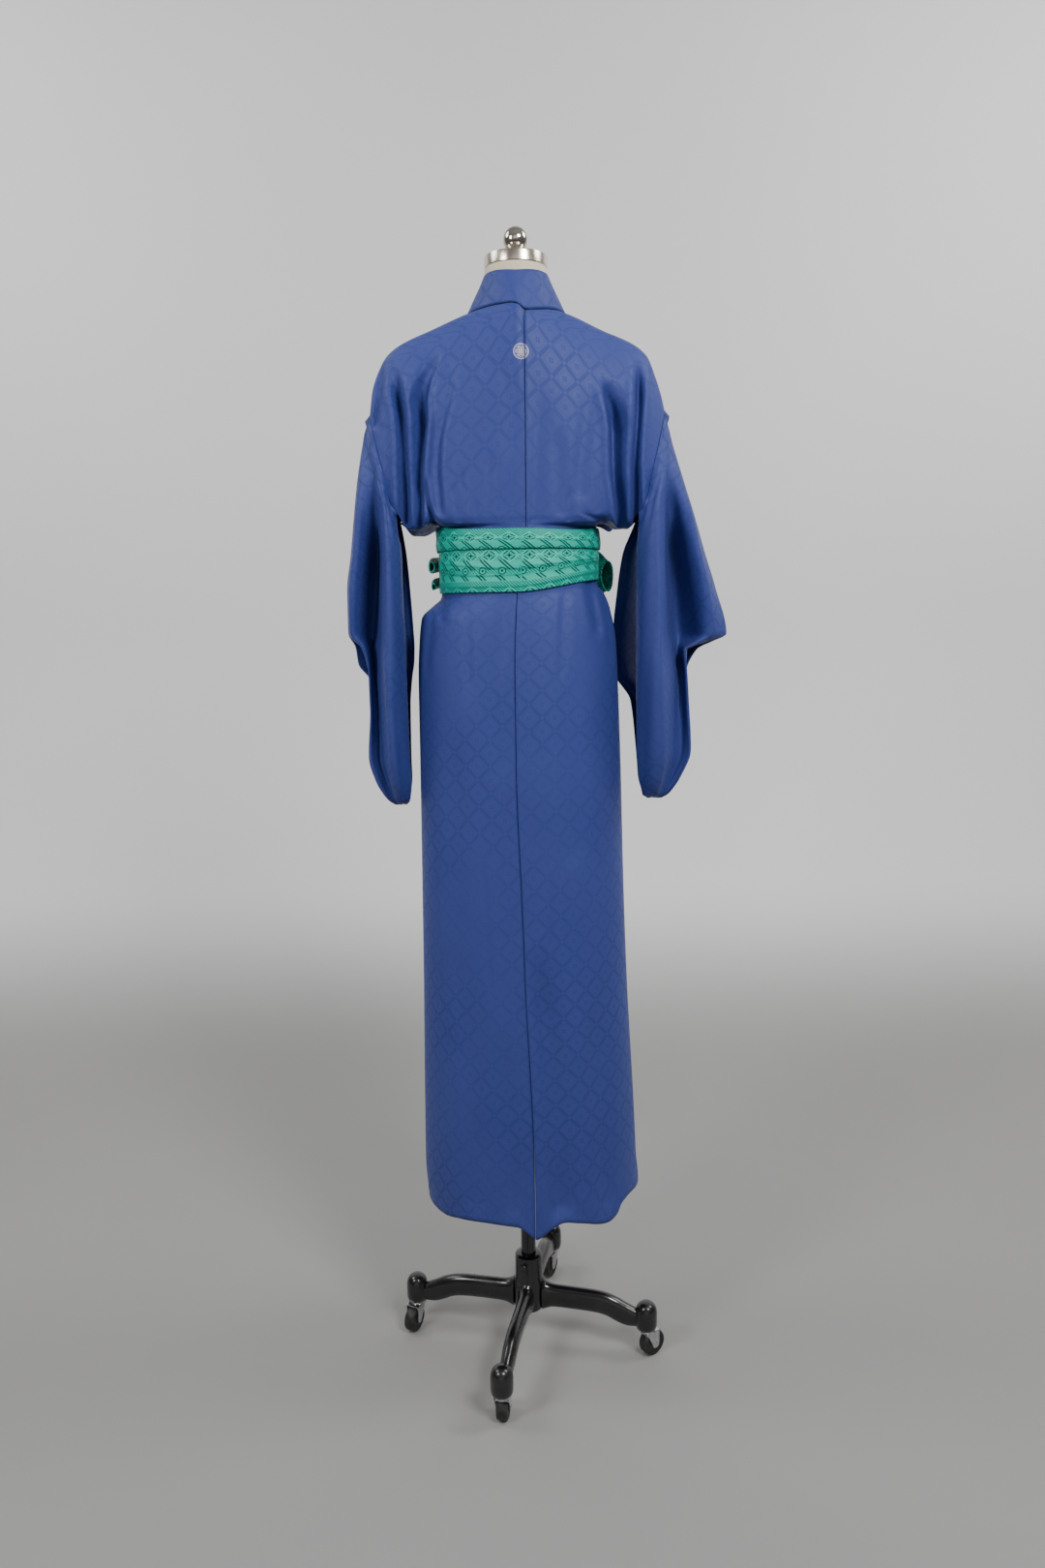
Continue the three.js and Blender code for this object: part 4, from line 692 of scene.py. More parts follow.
def body_surface(side, station, share, gap=0.08):
    start, stop = inner_angle(side, station) + np.where(station > 2, -gap, gap), outer_angle(station)
    stop = stop + np.where(station > 2, gap, -gap)
    angle = mix(start, stop, share)
    lift = lap_lift(side, station, angle)
    wide = np.abs(stop - start) * share * 2.1
    ledge = np.where(station < 1.324, side * -0.8 * np.exp(-(wide / 2.6) ** 2), 0)
    return skin(side, station, angle, lift + ledge)


def cloth_wall(made, uv, thickness):
    """Gives a sheet its places on the flat cloth, and its wall, grown inwards from its outer face."""
    loops = np.empty(len(made.data.loops), dtype=int)
    made.data.loops.foreach_get("vertex_index", loops)
    layer = made.data.uv_layers.new(name="cloth")
    layer.data.foreach_set("uv", np.asarray(uv, dtype=np.float32).reshape(-1, 2)[loops].ravel())
    wall = made.modifiers.new("wall", "SOLIDIFY")
    wall.thickness = thickness / 1000
    wall.offset = -1
    return made


def sheet_of(name, grid, thickness, uv, loop=False, middle=None):
    """A thin wall of cloth on a grid of millimetre places."""
    rows, cols = grid.shape[:2]
    index = np.arange(rows * cols).reshape(rows, cols)
    right = np.roll(index, -1, axis=1) if loop else index[:, 1:]
    left = index if loop else index[:, :-1]
    quads = np.stack([left[:-1], right[:-1], right[1:], left[1:]], axis=-1).reshape(-1, 4)
    corners = grid.reshape(-1, 3)[quads]
    normals = np.cross(corners[:, 2] - corners[:, 0], corners[:, 3] - corners[:, 1])
    centres = corners.mean(axis=1)
    away = centres - middle(centres) if middle else centres * (1, 1, 0)
    if np.sum(normals * away) < 0:
        quads = quads[:, ::-1]
    return cloth_wall(shaped(name, grid.reshape(-1, 3), quads.tolist(), 180), uv, thickness)


def run_of(grid, axis):
    """Distance along a grid from its first line, in metres."""
    hops = np.linalg.norm(np.diff(grid, axis=axis), axis=-1)
    zero = np.zeros_like(np.take(hops, [0], axis=axis))
    return np.cumsum(np.concatenate([zero, hops], axis=axis), axis=axis) / 1000


def cloth_run(grid, from_row):
    """Where each place lies on the flat cloth: across from its inner edge, along from one row."""
    across = run_of(grid, 1)
    along = run_of(grid, 0)
    middle = along[:, grid.shape[1] // 2]
    return np.stack(np.broadcast_arrays(across, (middle - middle[from_row])[:, None]), axis=-1)


# Rows of the cloth below the yoke: from, to and how many, closest where the waist and the blouse turn.
low_heights = np.concatenate([np.linspace(*rows) for rows in (
    (288, 380, 14), (392, 1230, 72), (1238, 1306, 14), (1311, 1436, 40), (1438, 1460, 16), (1464, 1498, 9))])
arch_turns = np.linspace(0, 180, 91)
body_stations = np.concatenate([back_station(low_heights), 1 + arch_turns / 180,
                                front_station(low_heights[::-1])])

# Figured ground: bars round each lozenge and a four-dot flower in it, by place on the flat cloth.
damask, inside, start, end = effect("lozenge damask", {"Wide": 0.041, "Tall": 0.042}, ["Figure"])
across, along, _ = inside.split(start("Place"))
across, along = across / start("Wide"), along / start("Tall")
rising = (across + along).calc("PINGPONG", 0.5)
falling = (across - along).calc("PINGPONG", 0.5)
bars = ((rising.ramp(0.125, 0.07) * falling.ramp(0.03, 0.12))
        | (falling.ramp(0.125, 0.07) * rising.ramp(0.03, 0.12)))
ring_line = abs(rising.calc("MINIMUM", falling) - 0.2).ramp(0.026, 0.012)


def dot_at(p, q):
    """Distance from a dot beside the lozenge's middle, by its places along both diagonals."""
    return ((rising + (p - 0.5)) ** 2.0 + (falling + (q - 0.5)) ** 2.0).calc("SQRT")


flower = dot_at(0.09, 0.0).calc("MINIMUM", dot_at(0.0, 0.09)).ramp(0.07, 0.045)
inside.feed(end["Figure"], bars | (ring_line * 0.45) | (flower * 0.8))

# Fine threads and slubs, used by both silks.
grain, inside, start, end = effect("silk grain", {"Threads": 2400.0}, ["Height", "Shade"])
stretch = inside.node("ShaderNodeMapping", {"Vector": start("Place"), "Scale": (900.0, 28.0, 1.0)})
slub = inside.noise(stretch("Vector"), 1.0, 3.0)
inside.feed(end["Height"], inside.noise(start("Place"), start("Threads"), 3.0) + slub * 0.6)
inside.feed(end["Shade"], slub * 0.4 + inside.noise(start("Place"), 9.0, 3.0) * 0.6)

silk, wire = finish("blue figured silk")
place = wire.node("ShaderNodeUVMap", uv_map="cloth")("UV")
figure = wire.group(damask, place, Wide=0.041, Tall=0.042)("Figure")
fibre = wire.group(grain, place)
ground = wire.between(fibre("Shade"), (0.032, 0.048, 0.215, 1), (0.048, 0.069, 0.27, 1))
shown = wire.noise(place, 5.0, 2.0).ramp(0.36, 0.64) * 0.26 + 0.1
cloth_colour = wire.between(figure * shown, ground, (0.016, 0.034, 0.165, 1))
# A plain dyed roundel at the top of the back seam: a six-petalled flower in a ring.
spot_x, spot_y, spot_z = wire.split(wire.place())
spot_x, spot_z = spot_x - (pole_x - 0.006), spot_z - 1.687
reach = (spot_x ** 2.0 + spot_z ** 2.0).calc("SQRT")
petal = abs((spot_x.calc("ARCTAN2", spot_z) * 3.0).calc("COSINE"))
rim_line = abs(reach - 0.0093).ramp(0.0004, 0.0009)
leaf_line = abs(reach - (petal * 0.0048 + 0.0028)).ramp(0.0004, 0.0010)
roundel = reach.ramp(0.0120, 0.0114) * rim_line * leaf_line * spot_y.ramp(0.01, 0.02)
wire.dress({"Base Color": wire.between(roundel * 0.9, cloth_colour, (0.46, 0.43, 0.56, 1)),
            "Roughness": wire.between(figure, 0.5, 0.62), "Specular IOR Level": 0.2, "Sheen Weight": 0.05,
            "Sheen Roughness": 0.45, "Sheen Tint": (0.45, 0.58, 0.95, 1)},
           height=fibre("Height") * 0.6 + figure * 0.7, strength=0.35, distance=0.0003)

SILK_WALL, COLLAR_WALL, SASH_WALL = 1.1, 2.2, 1.5
for side, name in ((1, "left"), (-1, "right")):
    across_share = np.linspace(0, 1, 93)[None, :]
    across_share = np.sin(across_share * 1.15) / math.sin(1.15)
    grid = body_surface(side, body_stations[:, None], across_share)
    run = cloth_run(grid, len(low_heights) + 45)
    run[..., 0] *= side
    body = sheet_of("robe_body_" + name, grid, SILK_WALL, run)
    keep(body, "form", "blue_silk", silk, "body_" + name)


# ---- Front overlaps ----
# The narrow panels of the same silk that widen each front, sewn to the body widths from the hem up
# to a point at the chest.
for side, name in ((1, "left"), (-1, "right")):
    heights = low_heights[low_heights <= 1478][:, None]
    start_angle = smooth(FRONT, "okumi", heights) + 0.08
    stop_angle = smooth(FRONT, "edge", heights) - np.where(heights > 1088, 0.08, 0)
    angles = mix(start_angle, stop_angle, np.linspace(0, 1, 19)[None, :])
    grid = ring_point(side, heights, angles, lap_lift(side, front_station(heights), angles))
    run = cloth_run(grid, 0)
    run[..., 0] *= side
    panel = sheet_of("robe_overlap_" + name, grid, SILK_WALL, run)
    keep(panel, "form", "blue_silk", silk, "okumi_" + name)
    "robe_body_" + name


# ---- Collar ----
# One long folded band of the same silk, sewn round the neck and down both fronts, standing at
# the nape and lying flat on the chest.
RIM = table(
    "turn x y z",
    (63, 0, 62, 1810), (66, 14, 60.5, 1811), (72, 33, 50, 1812.5), (81, 47, 28, 1813), (90, 52.5, 3, 1809),
    (100, 54, -20, 1799), (112, 47, -47, 1785), (125, 25, -78, 1753), (140, -14, -97, 1711),
    (154.5, -50, -104, 1655), (165, -82, -96, 1605), (172.5, -108, -92, 1558), (180, -138, -83, 1500))


def chest_depth(side, x, z, lift):
    near = x >= 0
    rise = np.zeros_like(x)
    for _ in range(6):
        distance = np.abs(x) * (1 + FLARE) / (1 + FLARE * rise)
        top = np.where(near, smooth(SHOULDER, "left", distance), smooth(SHOULDER, "right", distance))
        rise = np.clip((z - YOKE) / (top - YOKE), 0, 1)
    turn = 180 - np.degrees(np.arcsin(rise))
    reach = half_width(x, YOKE) * (1 + FLARE * rise)
    angle = 180 - np.degrees(np.arcsin(np.clip(np.abs(x) / reach, 0, 1)))
    return arch_point(side, turn, angle, lift)[..., 1]


def collar_point(side, station, v):
    station, v = np.broadcast_arrays(station, v)
    turn = np.clip((station - 1) * 180, NAPE, 180)
    z = height_at(np.maximum(station, 2))
    begin = smooth(FRONT, "edge", z) + 0.08
    angle = mix(begin, np.maximum(smooth(FRONT, "free", z), begin + 0.5), v)
    lying_down = ring_point(side, z, angle, lap_lift(side, station, angle))
    seam = np.where(turn <= 90, inner_angle(side, 1 + turn / 180), smooth(NECKLINE, "angle", turn) + 0.08)
    lift = lap_lift(side, station, seam)
    base = arch_point(side, turn, seam, lift)
    base[..., 2] += 1.3 * (1 - ease(100, 130, turn))
    free = np.stack([side * smooth(RIM, "x", turn), smooth(RIM, "y", turn), smooth(RIM, "z", turn)], axis=-1)
    point = mix(base, free, v[..., None])
    flat_on = ease(112, 146, turn) * ease(0, 0.25, v)
    point[..., 1] = mix(point[..., 1], chest_depth(side, point[..., 0], point[..., 2], lift), flat_on)
    return np.where((station > 2)[..., None], lying_down, point)


collar_stations = np.concatenate([1 + np.linspace(NAPE, 180, 90) / 180,
                                  front_station(low_heights[::-1][low_heights[::-1] >= 1088])])
share = np.linspace(0, 1, 13)[None, :]
left_half = collar_point(1, collar_stations[:, None], share)
right_half = collar_point(-1, collar_stations[:, None], share)
grid = np.concatenate([left_half[::-1], right_half[1:]], axis=0)
soft = np.sin(np.linspace(0, math.pi, 13))[None, :] * 0.9
grid[..., 1] += (soft * np.sign(grid[..., 1])) * (grid[..., 2] > 1500)
run = cloth_run(grid, len(collar_stations) - 1)
collar = sheet_of("robe_collar", grid, COLLAR_WALL, run[..., ::-1])
keep(collar, "form", "blue_silk", silk, "collar")


# ---- Sleeves ----
# Two hanging pouches of the same silk, each a single cloth folded along the top, sewn to the
# armhole and along the bottom, open at the cuff and down the inner edge below the armhole.
SLEEVE_KEYS = "z ix iy rx ry bx by vx vy gx gy ex ey cx cy depth fx fy"
SLEEVE_LEFT = table(
    SLEEVE_KEYS,
    (989, 193, 1, 195, 1, 201, 1, 207, 1, 211, 1, 213, 0, 213, 0, 0, 193, 1),
    (994, 191, 3, 190, 9, 202, 17, 211, 9, 218, 8, 220, 0, 220, 0, 12, 191, -5),
    (1004, 190, 6, 187, 15, 202, 30, 216, 12, 226, 13, 228, 0, 228, 0, 22, 189, -10),
    (1030, 193, 8, 184, 22, 204, 46, 226, 10, 239, 18, 242, 0, 242, 0, 32, 186, -18),
    (1070, 195, 8, 185, 28, 206, 58, 236, 8, 249, 20, 252, 0, 252, 0, 38, 187, -24),
    (1150, 196, 4, 186, 34, 208, 70, 236, 4, 245, 20, 247, 0, 247, 0, 46, 187, -34),
    (1195, 196, 3, 186, 38, 208, 76, 238, 0, 245, 20, 247, 0, 247, 0, 52, 184, -48),
    (1222, 196, 3, 186, 40, 208, 78, 240, -6, 246, 24, 249, 18, 268, -14, 56, 180, -54),
    (1250, 196, 4, 186, 41, 207, 79, 242, -14, 252, 28, 257, 24, 271, -10, 58, 179, -54),
    (1272, 196, 4, 186, 42, 207, 80, 241, -18, 268, 32, 280, 0, 280, 0, 60, 180, -54),
    (1340, 196, 8, 186, 46, 206, 80, 235, -16, 265, 46, 279, 2, 279, 2, 64, 184, -54),
    (1395, 192, 18, 186, 50, 205, 78, 229, -8, 258, 48, 271, 4, 271, 4, 64, 188, -52),
    (1452, 191, 54, 198, 64, 205, 74, 226, 30, 252, 48, 264, 4, 264, 4, 62, 197, -57),
    (1508, 207, 56, 212, 61, 217, 58, 223, 47, 246, 40, 257, 2, 257, 2, 56, 207, -56),
    (1575, 227, 36, 230, 33, 233, 28, 236, 20, 243, 9, 244.5, 0, 244.5, 0, 31, 227, -36),
    (1604, 231, 12, 232, 12, 233, 11, 234, 9, 235.5, 4, 236, 0, 236, 0, 12, 231, -12))
SLEEVE_RIGHT = table(
    SLEEVE_KEYS,
    (995, 208, 1, 211, 1, 218, 1, 225, 1, 230, 1, 232, 0, 232, 0, 0, 208, 1),
    (1000, 202, 3, 202, 9, 218, 18, 230, 9, 238, 8, 240, 0, 240, 0, 12, 202, -5),
    (1010, 202, 6, 199, 16, 218, 32, 236, 12, 246, 13, 248, 0, 248, 0, 23, 200, -10),
    (1035, 199, 8, 192, 24, 220, 48, 248, 10, 260, 18, 263, 0, 263, 0, 34, 195, -18),
    (1075, 198, 8, 189, 30, 222, 62, 260, 8, 274, 20, 277, 0, 277, 0, 40, 192, -24),
    (1155, 197, 4, 187, 38, 220, 76, 260, 2, 270, 22, 273, 0, 273, 0, 50, 184, -40),
    (1200, 196, 3, 186, 42, 218, 82, 260, -4, 268, 22, 270, 0, 270, 0, 58, 158, -70),
    (1240, 196, 4, 186, 44, 216, 84, 258, -14, 264, 30, 268, 20, 290, -12, 62, 157, -74),
    (1254, 196, 4, 186, 44, 216, 84, 260, -18, 290, 26, 306, 14, 318, -8, 63, 157, -74),
    (1263, 196, 4, 186, 44, 216, 84, 259, -20, 305, 28, 335, 0, 335, 0, 64, 157, -74),
    (1340, 196, 8, 186, 46, 214, 84, 252, -16, 294, 42, 315, 2, 315, 2, 66, 164, -72),
    (1395, 190, 18, 186, 50, 212, 82, 246, -8, 280, 46, 297, 4, 297, 4, 64, 172, -66),
    (1452, 187, 54, 197, 65, 212, 78, 240, 30, 266, 48, 280, 4, 280, 4, 62, 194, -58),
    (1508, 205, 56, 212, 62, 222, 62, 234, 49, 250, 42, 262, 2, 262, 2, 56, 205, -56),
    (1575, 226, 36, 230, 33, 234, 28, 237, 20, 240, 9, 241, 0, 241, 0, 29, 226, -36),
    (1602, 229, 12, 230, 12, 231, 11, 232, 9, 233, 4, 233.5, 0, 233.5, 0, 12, 229, -12))


def bend_through(points, shares):
    """A smooth curve through a few places, by share of the places."""
    points = np.asarray(points, dtype=float)
    ends = np.vstack([2 * points[0] - points[1], points, 2 * points[-1] - points[-2]])
    at = np.clip(shares, 0, 1) * (len(points) - 1)
    i = np.minimum(at.astype(int), len(points) - 2)
    w = (at - i)[:, None]
    p = [ends[i + k] for k in range(4)]
    d = [np.maximum(np.linalg.norm(p[k + 1] - p[k], axis=1), 1e-4)[:, None] ** 0.5 for k in range(3)]
    m1 = ((p[1] - p[0]) / d[0] - (p[2] - p[0]) / (d[0] + d[1]) + (p[2] - p[1]) / d[1]) * d[1]
    m2 = ((p[2] - p[1]) / d[1] - (p[3] - p[1]) / (d[1] + d[2]) + (p[3] - p[2]) / d[2]) * d[1]
    return (p[1] * (2 * w ** 3 - 3 * w ** 2 + 1) + m1 * (w ** 3 - 2 * w ** 2 + w)
            + p[2] * (3 * w ** 2 - 2 * w ** 3) + m2 * (w ** 3 - w ** 2))


def armhole(side, station):
    """Place of the armhole seam, just beyond the body's edge."""
    edge = body_surface(side, np.array(station), np.array(1.0))
    inner = body_surface(side, np.array(station), np.array(0.999))
    away = (edge - inner) / max(np.linalg.norm(edge - inner), 1e-9)
    return edge + away * 0.35


def sleeve_layer(side, z, rows, fore, seam, shares):
    """One layer of a sleeve at one height, from the armhole seam or the open inner edge to the cuff."""
    at = {key: float(smooth(rows, key, z)) for key in SLEEVE_KEYS.split()[1:]}
    depth, clear = at["depth"], 0
    if seam is None:
        seam = np.array([side * at["fx"], at["fy"], z] if fore else [side * at["ix"], at["iy"], z])
    else:
        clear = side * seam[0] + mix(0.5, 4, ease(1592, 1545, z))
    if fore:
        tuck = mix(-depth, at["by"] * 0.3, ease(1500, 1400, z))
        spots = [(mix(at["fx"], at["bx"], 0.3), -depth), (mix(at["fx"], at["bx"], 0.78), tuck),
                 (mix(at["bx"], at["vx"], 0.55), -depth * 0.95), (at["gx"], -depth * 0.5), (at["cx"], at["cy"])]
    else:
        spots = [(at[key + "x"], at[key + "y"]) for key in "rbvge"]
    spots = [(side * max(x, clear * (1 + i * 0.01)), y, z) for i, (x, y) in enumerate(spots)]
    return bend_through([seam] + spots, shares)


def rippled(layer, side, shares, sign):
    """Soft uneven ripples down the hanging cloth, none at the sewn top."""
    z = layer[..., 2]
    at = shares[None, :] * 5
    amount = ease(1560, 1420, z) * np.sin(np.pi * shares)[None, :]
    wave = np.sin(at * 5.1 + z * 0.011 + side) * 1.5 + np.sin(at * 9.7 - z * 0.019) * 0.9
    across = np.gradient(layer, axis=1)
    out = np.stack([across[..., 1], -across[..., 0], np.zeros_like(z)], axis=-1)
    out = out / np.maximum(np.linalg.norm(out, axis=-1, keepdims=True), 1e-6)
    return layer + out * (wave * amount * sign)[..., None]


LAYER = 44
cuff_rows = []
for side, name, rows, slit in ((1, "left", SLEEVE_LEFT, (1195, 1272)),
                               (-1, "right", SLEEVE_RIGHT, (1200, 1263))):
    shares = np.linspace(0, 1, LAYER + 1)
    top_row = np.array([armhole(side, 1 + turn / 180) for turn in np.linspace(72, 108, 2 * LAYER + 1)])
    layers = [(top_row[:LAYER + 1], top_row[LAYER:][::-1])]
    sewn_to = [(1 + turn / 180, 2 - turn / 180) for turn in np.linspace(70, 0, 36)]
    sewn_to += [(back_station(z), front_station(z)) for z in np.linspace(1496, 1458, 10)]
    for behind, before in sewn_to:
        seam = armhole(side, behind)
        z = seam[2] if behind >= 1 else height_at(behind)
        layers.append((sleeve_layer(side, z, rows, False, seam, shares),
                       sleeve_layer(side, z, rows, True, armhole(side, before), shares)))
    open_from = len(layers)
    for z in np.concatenate([np.linspace(1453, slit[1], 34), np.linspace(slit[1], slit[0], 16)[1:],
                             np.linspace(slit[0], rows["z"][0], 40)[1:]]):
        layers.append([sleeve_layer(side, z, rows, fore, None, shares) for fore in (False, True)])
    back, fore = (rippled(np.array([row[i] for row in layers]), side, shares, 1 - 2 * i) for i in (0, 1))
    count = len(layers)
    cuff_z = back[:, LAYER, 2]
    at_cuff = (cuff_z > slit[0]) & (cuff_z < slit[1]) & (np.arange(count) > open_from)
    cuff_rows.append(back[at_cuff, LAYER - 1] + np.array([0, 0.35, 0]))
    cuff_rows.append(fore[at_cuff, LAYER - 1] - np.array([0, 0.35, 0]))
    points, faces, where = [], [], []
    back_ids, fore_ids = np.zeros((count, LAYER + 1), int), np.zeros((count, LAYER + 1), int)
    back_run, fore_run = run_of(back, 1), run_of(fore, 1)
    down = run_of(back, 0)[:, LAYER // 2]
    for i in range(count):
        closed_cuff = not (slit[0] + 0.5 < cuff_z[i] < slit[1] - 0.5) or i < open_from
        for j in range(LAYER + 1):
            back_ids[i, j] = len(points)
            points.append(back[i, j])
            where.append((back_run[i, j] * side, -down[i]))
        for j in range(LAYER + 1):
            if (j == LAYER and closed_cuff) or i == count - 1:
                fore_ids[i, j] = back_ids[i, j]
                continue
            fore_ids[i, j] = len(points)
            points.append(fore[i, j])
            where.append(((back_run[i, -1] + fore_run[i, -1] - fore_run[i, j]) * side, -down[i]))
    for i in range(1, count):
        for j in range(1, LAYER + 1):
            faces.append((back_ids[i - 1, j - 1], back_ids[i - 1, j], back_ids[i, j], back_ids[i, j - 1]))
            faces.append((fore_ids[i - 1, j], fore_ids[i - 1, j - 1], fore_ids[i, j - 1], fore_ids[i, j]))
    faces = [tuple(dict.fromkeys(face)) for face in faces]
    faces = [face if side < 0 else face[::-1] for face in faces if len(face) > 2]
    sleeve = cloth_wall(shaped("robe_sleeve_" + name, np.array(points), faces, 180), where, SILK_WALL)
    keep(sleeve, "form", "blue_silk", silk, "sleeve_" + name)
    "robe_body_" + name


# ---- Hand sewing ----
# Rows of small running stitches in blue silk thread: round the neck seam, down both armholes, along
# the hem and round both cuffs.
thread, wire = finish("blue sewing thread")
twist = wire.node("ShaderNodeTexWave", {"Vector": wire.place(), "Scale": 900.0, "Distortion": 2.0},
                  bands_direction="DIAGONAL")("Fac")
wire.dress({"Base Color": wire.between(twist, (0.03, 0.045, 0.2, 1), (0.075, 0.11, 0.4, 1)), "Roughness": 0.6},
           height=twist, strength=0.4, distance=0.0002)

sewing = bpy.data.node_groups.new("running stitches", "GeometryNodeTree")
for label, kind in (("Path", "Geometry"), ("Pitch", "Float"), ("Length", "Float"), ("Radius", "Float"),
                    ("Thread", "Material")):
    sewing.interface.new_socket(label, in_out="INPUT", socket_type="NodeSocket" + kind)
sewing.interface.new_socket("Stitches", in_out="OUTPUT", socket_type="NodeSocketGeometry")
inside = Wiring(sewing)
start = inside.node("NodeGroupInput")
line = inside.node("GeometryNodeMeshToCurve", {"Mesh": start("Path")})
holes = inside.node("GeometryNodeCurveToPoints", {"Curve": line("Curve"), "Length": start("Pitch")},
                    mode="LENGTH")
one = inside.node("GeometryNodeMeshCylinder", {
    "Vertices": 6, "Radius": start("Radius"), "Depth": start("Length")})
uneven = inside.node("FunctionNodeRandomValue", {"Min": (0.8, 0.8, 0.75), "Max": (1.15, 1.15, 1.1), "Seed": 7},
                     data_type="FLOAT_VECTOR")
sewn = inside.node("GeometryNodeInstanceOnPoints", {
    "Points": holes("Points"), "Instance": one("Mesh"), "Rotation": holes("Rotation"), "Scale": uneven(0)})
real = inside.node("GeometryNodeRealizeInstances", {"Geometry": sewn("Instances")})
dyed = inside.node("GeometryNodeSetMaterial", {"Geometry": real("Geometry"), "Material": start("Thread")})
inside.feed(sewing.nodes.new("NodeGroupOutput").inputs["Stitches"], dyed("Geometry"))


def stitched(name, rows, pitch, length):
    """Stitches along rows of millimetre places, as one plain mesh."""
    points, edges = [], []
    for row in rows:
        edges += [(len(points) + i, len(points) + i + 1) for i in range(len(row) - 1)]
        points += in_frame(row).tolist()
    mesh = bpy.data.meshes.new(name + "_path")
    mesh.from_pydata(points, edges, [])
    guide = linked(name + "_path", mesh)
    sew = guide.modifiers.new("sewing", "NODES")
    sew.node_group = sewing
    values = {"Pitch": pitch / 1000, "Length": length / 1000, "Radius": 0.00028, "Thread": thread}
    for socket in sewing.interface.items_tree:
        if socket.in_out == "INPUT" and socket.name in values:
            sew[socket.identifier] = values[socket.name]
    seen = guide.evaluated_get(bpy.context.evaluated_depsgraph_get())
    made = linked(name, bpy.data.meshes.new_from_object(seen))
    bpy.data.objects.remove(guide)
    return keep(made, "form", "blue_silk", thread)


hem_rows, neck_rows, armhole_rows = [], [], []
for side in (1, -1):
    for foremost in (False, True):
        angles = np.linspace(3, 97, 60) if not foremost else np.linspace(100, 180 if side > 0 else 160, 50)
        hem_rows.append(ring_point(side, np.full(len(angles), 300.0), angles,
                                   0.25 + lap_lift(side, 2.9 if foremost else 0.1, angles)))
    stations = np.linspace(1 + NAPE / 180, 1.98, 90)
    band = collar_point(side, stations, np.full(90, 0.045))
    band[:, 1] += 0.5 * np.sign(band[:, 1])
    neck_rows.append(band)
    seam_line = np.array([armhole(side, station) for station in np.linspace(0.968, 1.4, 70)])
    seam_line[:, 0] += side * 0.5
    seam_line[:, 1] += 0.5
    armhole_rows.append(seam_line)
stitched("hem_stitches", hem_rows, 9, 2.4)
stitched("neck_stitches", neck_rows, 4.5, 2.2)
stitched("armhole_stitches", armhole_rows, 4.5, 2.2)
stitched("cuff_stitches", cuff_rows, 5, 2.4)


# ---- Sash ----
# A soft green figured silk sash wound round the waist in two turns, creased along its length and
# tied in a bow in front. Its two turns show one above the other.
SASH_LOWER = table(
    "z left right back front",
    (1334, 129.8, 126.8, 106.5, 104.5), (1346, 130.6, 127.8, 107.4, 105.4), (1358, 130, 127.3, 106.6, 104.6),
    (1374, 131, 128, 107.4, 105.4), (1390, 130.3, 127.3, 106.4, 104.4), (1402, 129.8, 126.8, 105.2, 103.2))
SASH_UPPER = table(
    "z left right back front",
    (1399, 133.1, 130, 109.3, 107.3), (1410, 134.5, 131, 110, 108), (1421, 133.6, 130, 109, 107),
    (1431, 134.4, 129, 108, 106), (1437, 133, 127.5, 105.5, 103.5))
# Creases of the wound cloth: degrees from the centre back where each starts and ends (towards
# the wearer's left is positive), heights at both ends, sag between them and how far it stands out.
WOUND = [(-84, 84, 1347, 1342, -3, 1.7), (84, -30, 1386, 1368, -6, 1.6), (84, -12, 1371, 1361, -7, 1.8),
         (6, -84, 1373, 1379, -4, 1.5), (-20, -84, 1357, 1366, 3, 1.2), (60, 10, 1394, 1389, -3, 0.9),
         (276, 96, 1350, 1346, -5, 1.7), (96, 250, 1376, 1364, -6, 1.7), (250, 110, 1388, 1382, -4, 1.3)]
TOP_WOUND = [(-84, 84, 1417, 1419, -2, 0.8), (84, 20, 1429, 1426, -2, 0.7), (-10, -84, 1411, 1413, 2, 0.8),
             (96, 270, 1420, 1415, -3, 1.0)]

# Rows of lozenges with a small star in each, pairs of slanted dashes, dots in rings and fine hatching.
CHART_HALF_WIDE, CHART_HALF_TALL = 0.0138, 0.0108
chart, inside, start, end = effect("sash chart", {"Repeat": 0.0286, "Rows": 0.058}, ["Dark", "Pale"])
along, up, _ = inside.split(start("Place"))
row = (up / start("Rows")).calc("FRACT") * start("Rows")
cell = (along / start("Repeat")).calc("FRACT")
x_in = abs((cell - 0.5) * start("Repeat"))
y_in = abs(row - 0.039)
lozenge = x_in / CHART_HALF_WIDE + y_in / CHART_HALF_TALL
side_off = abs(x_in / CHART_HALF_WIDE - y_in / CHART_HALF_TALL)
side_bars = abs(lozenge - 0.72).ramp(0.13, 0.07) * side_off.ramp(0.5, 0.4)
star = ((y_in.ramp(0.0011, 0.0006) * x_in.ramp(0.006, 0.002))
        | (x_in.ramp(0.0011, 0.0006) * y_in.ramp(0.005, 0.002))
        | (x_in.ramp(0.0018, 0.0012) * y_in.ramp(0.0018, 0.0012)))
slant = along + up
fine_lines = (slant / 0.0046).calc("PINGPONG", 0.5).ramp(0.26, 0.16)
hatch = fine_lines * lozenge.ramp(1.08, 1.14) * row.ramp(0.03, 0.034) * 0.8
dash_at = (slant / start("Repeat")).calc("FRACT")
dash_line = ((dash_at - 0.05) / 0.2).calc("PINGPONG", 0.5).ramp(0.2, 0.29)
dash_rows = ((row.ramp(0.0165, 0.0175) * row.ramp(0.0330, 0.0320))
             | (row.ramp(0.0005, 0.0015) * row.ramp(0.0105, 0.0095)))
dashes = dash_at.ramp(0.04, 0.06) * dash_at.ramp(0.46, 0.44) * dash_line * dash_rows
x_off = ((cell + 0.35).calc("FRACT") - 0.5) * start("Repeat")
round_reach = (x_off ** 2.0 + (row - 0.0158) ** 2.0).calc("SQRT")
circles = round_reach.ramp(0.0021, 0.0015) | (abs(round_reach - 0.0050).ramp(0.0011, 0.0006) * 0.9)
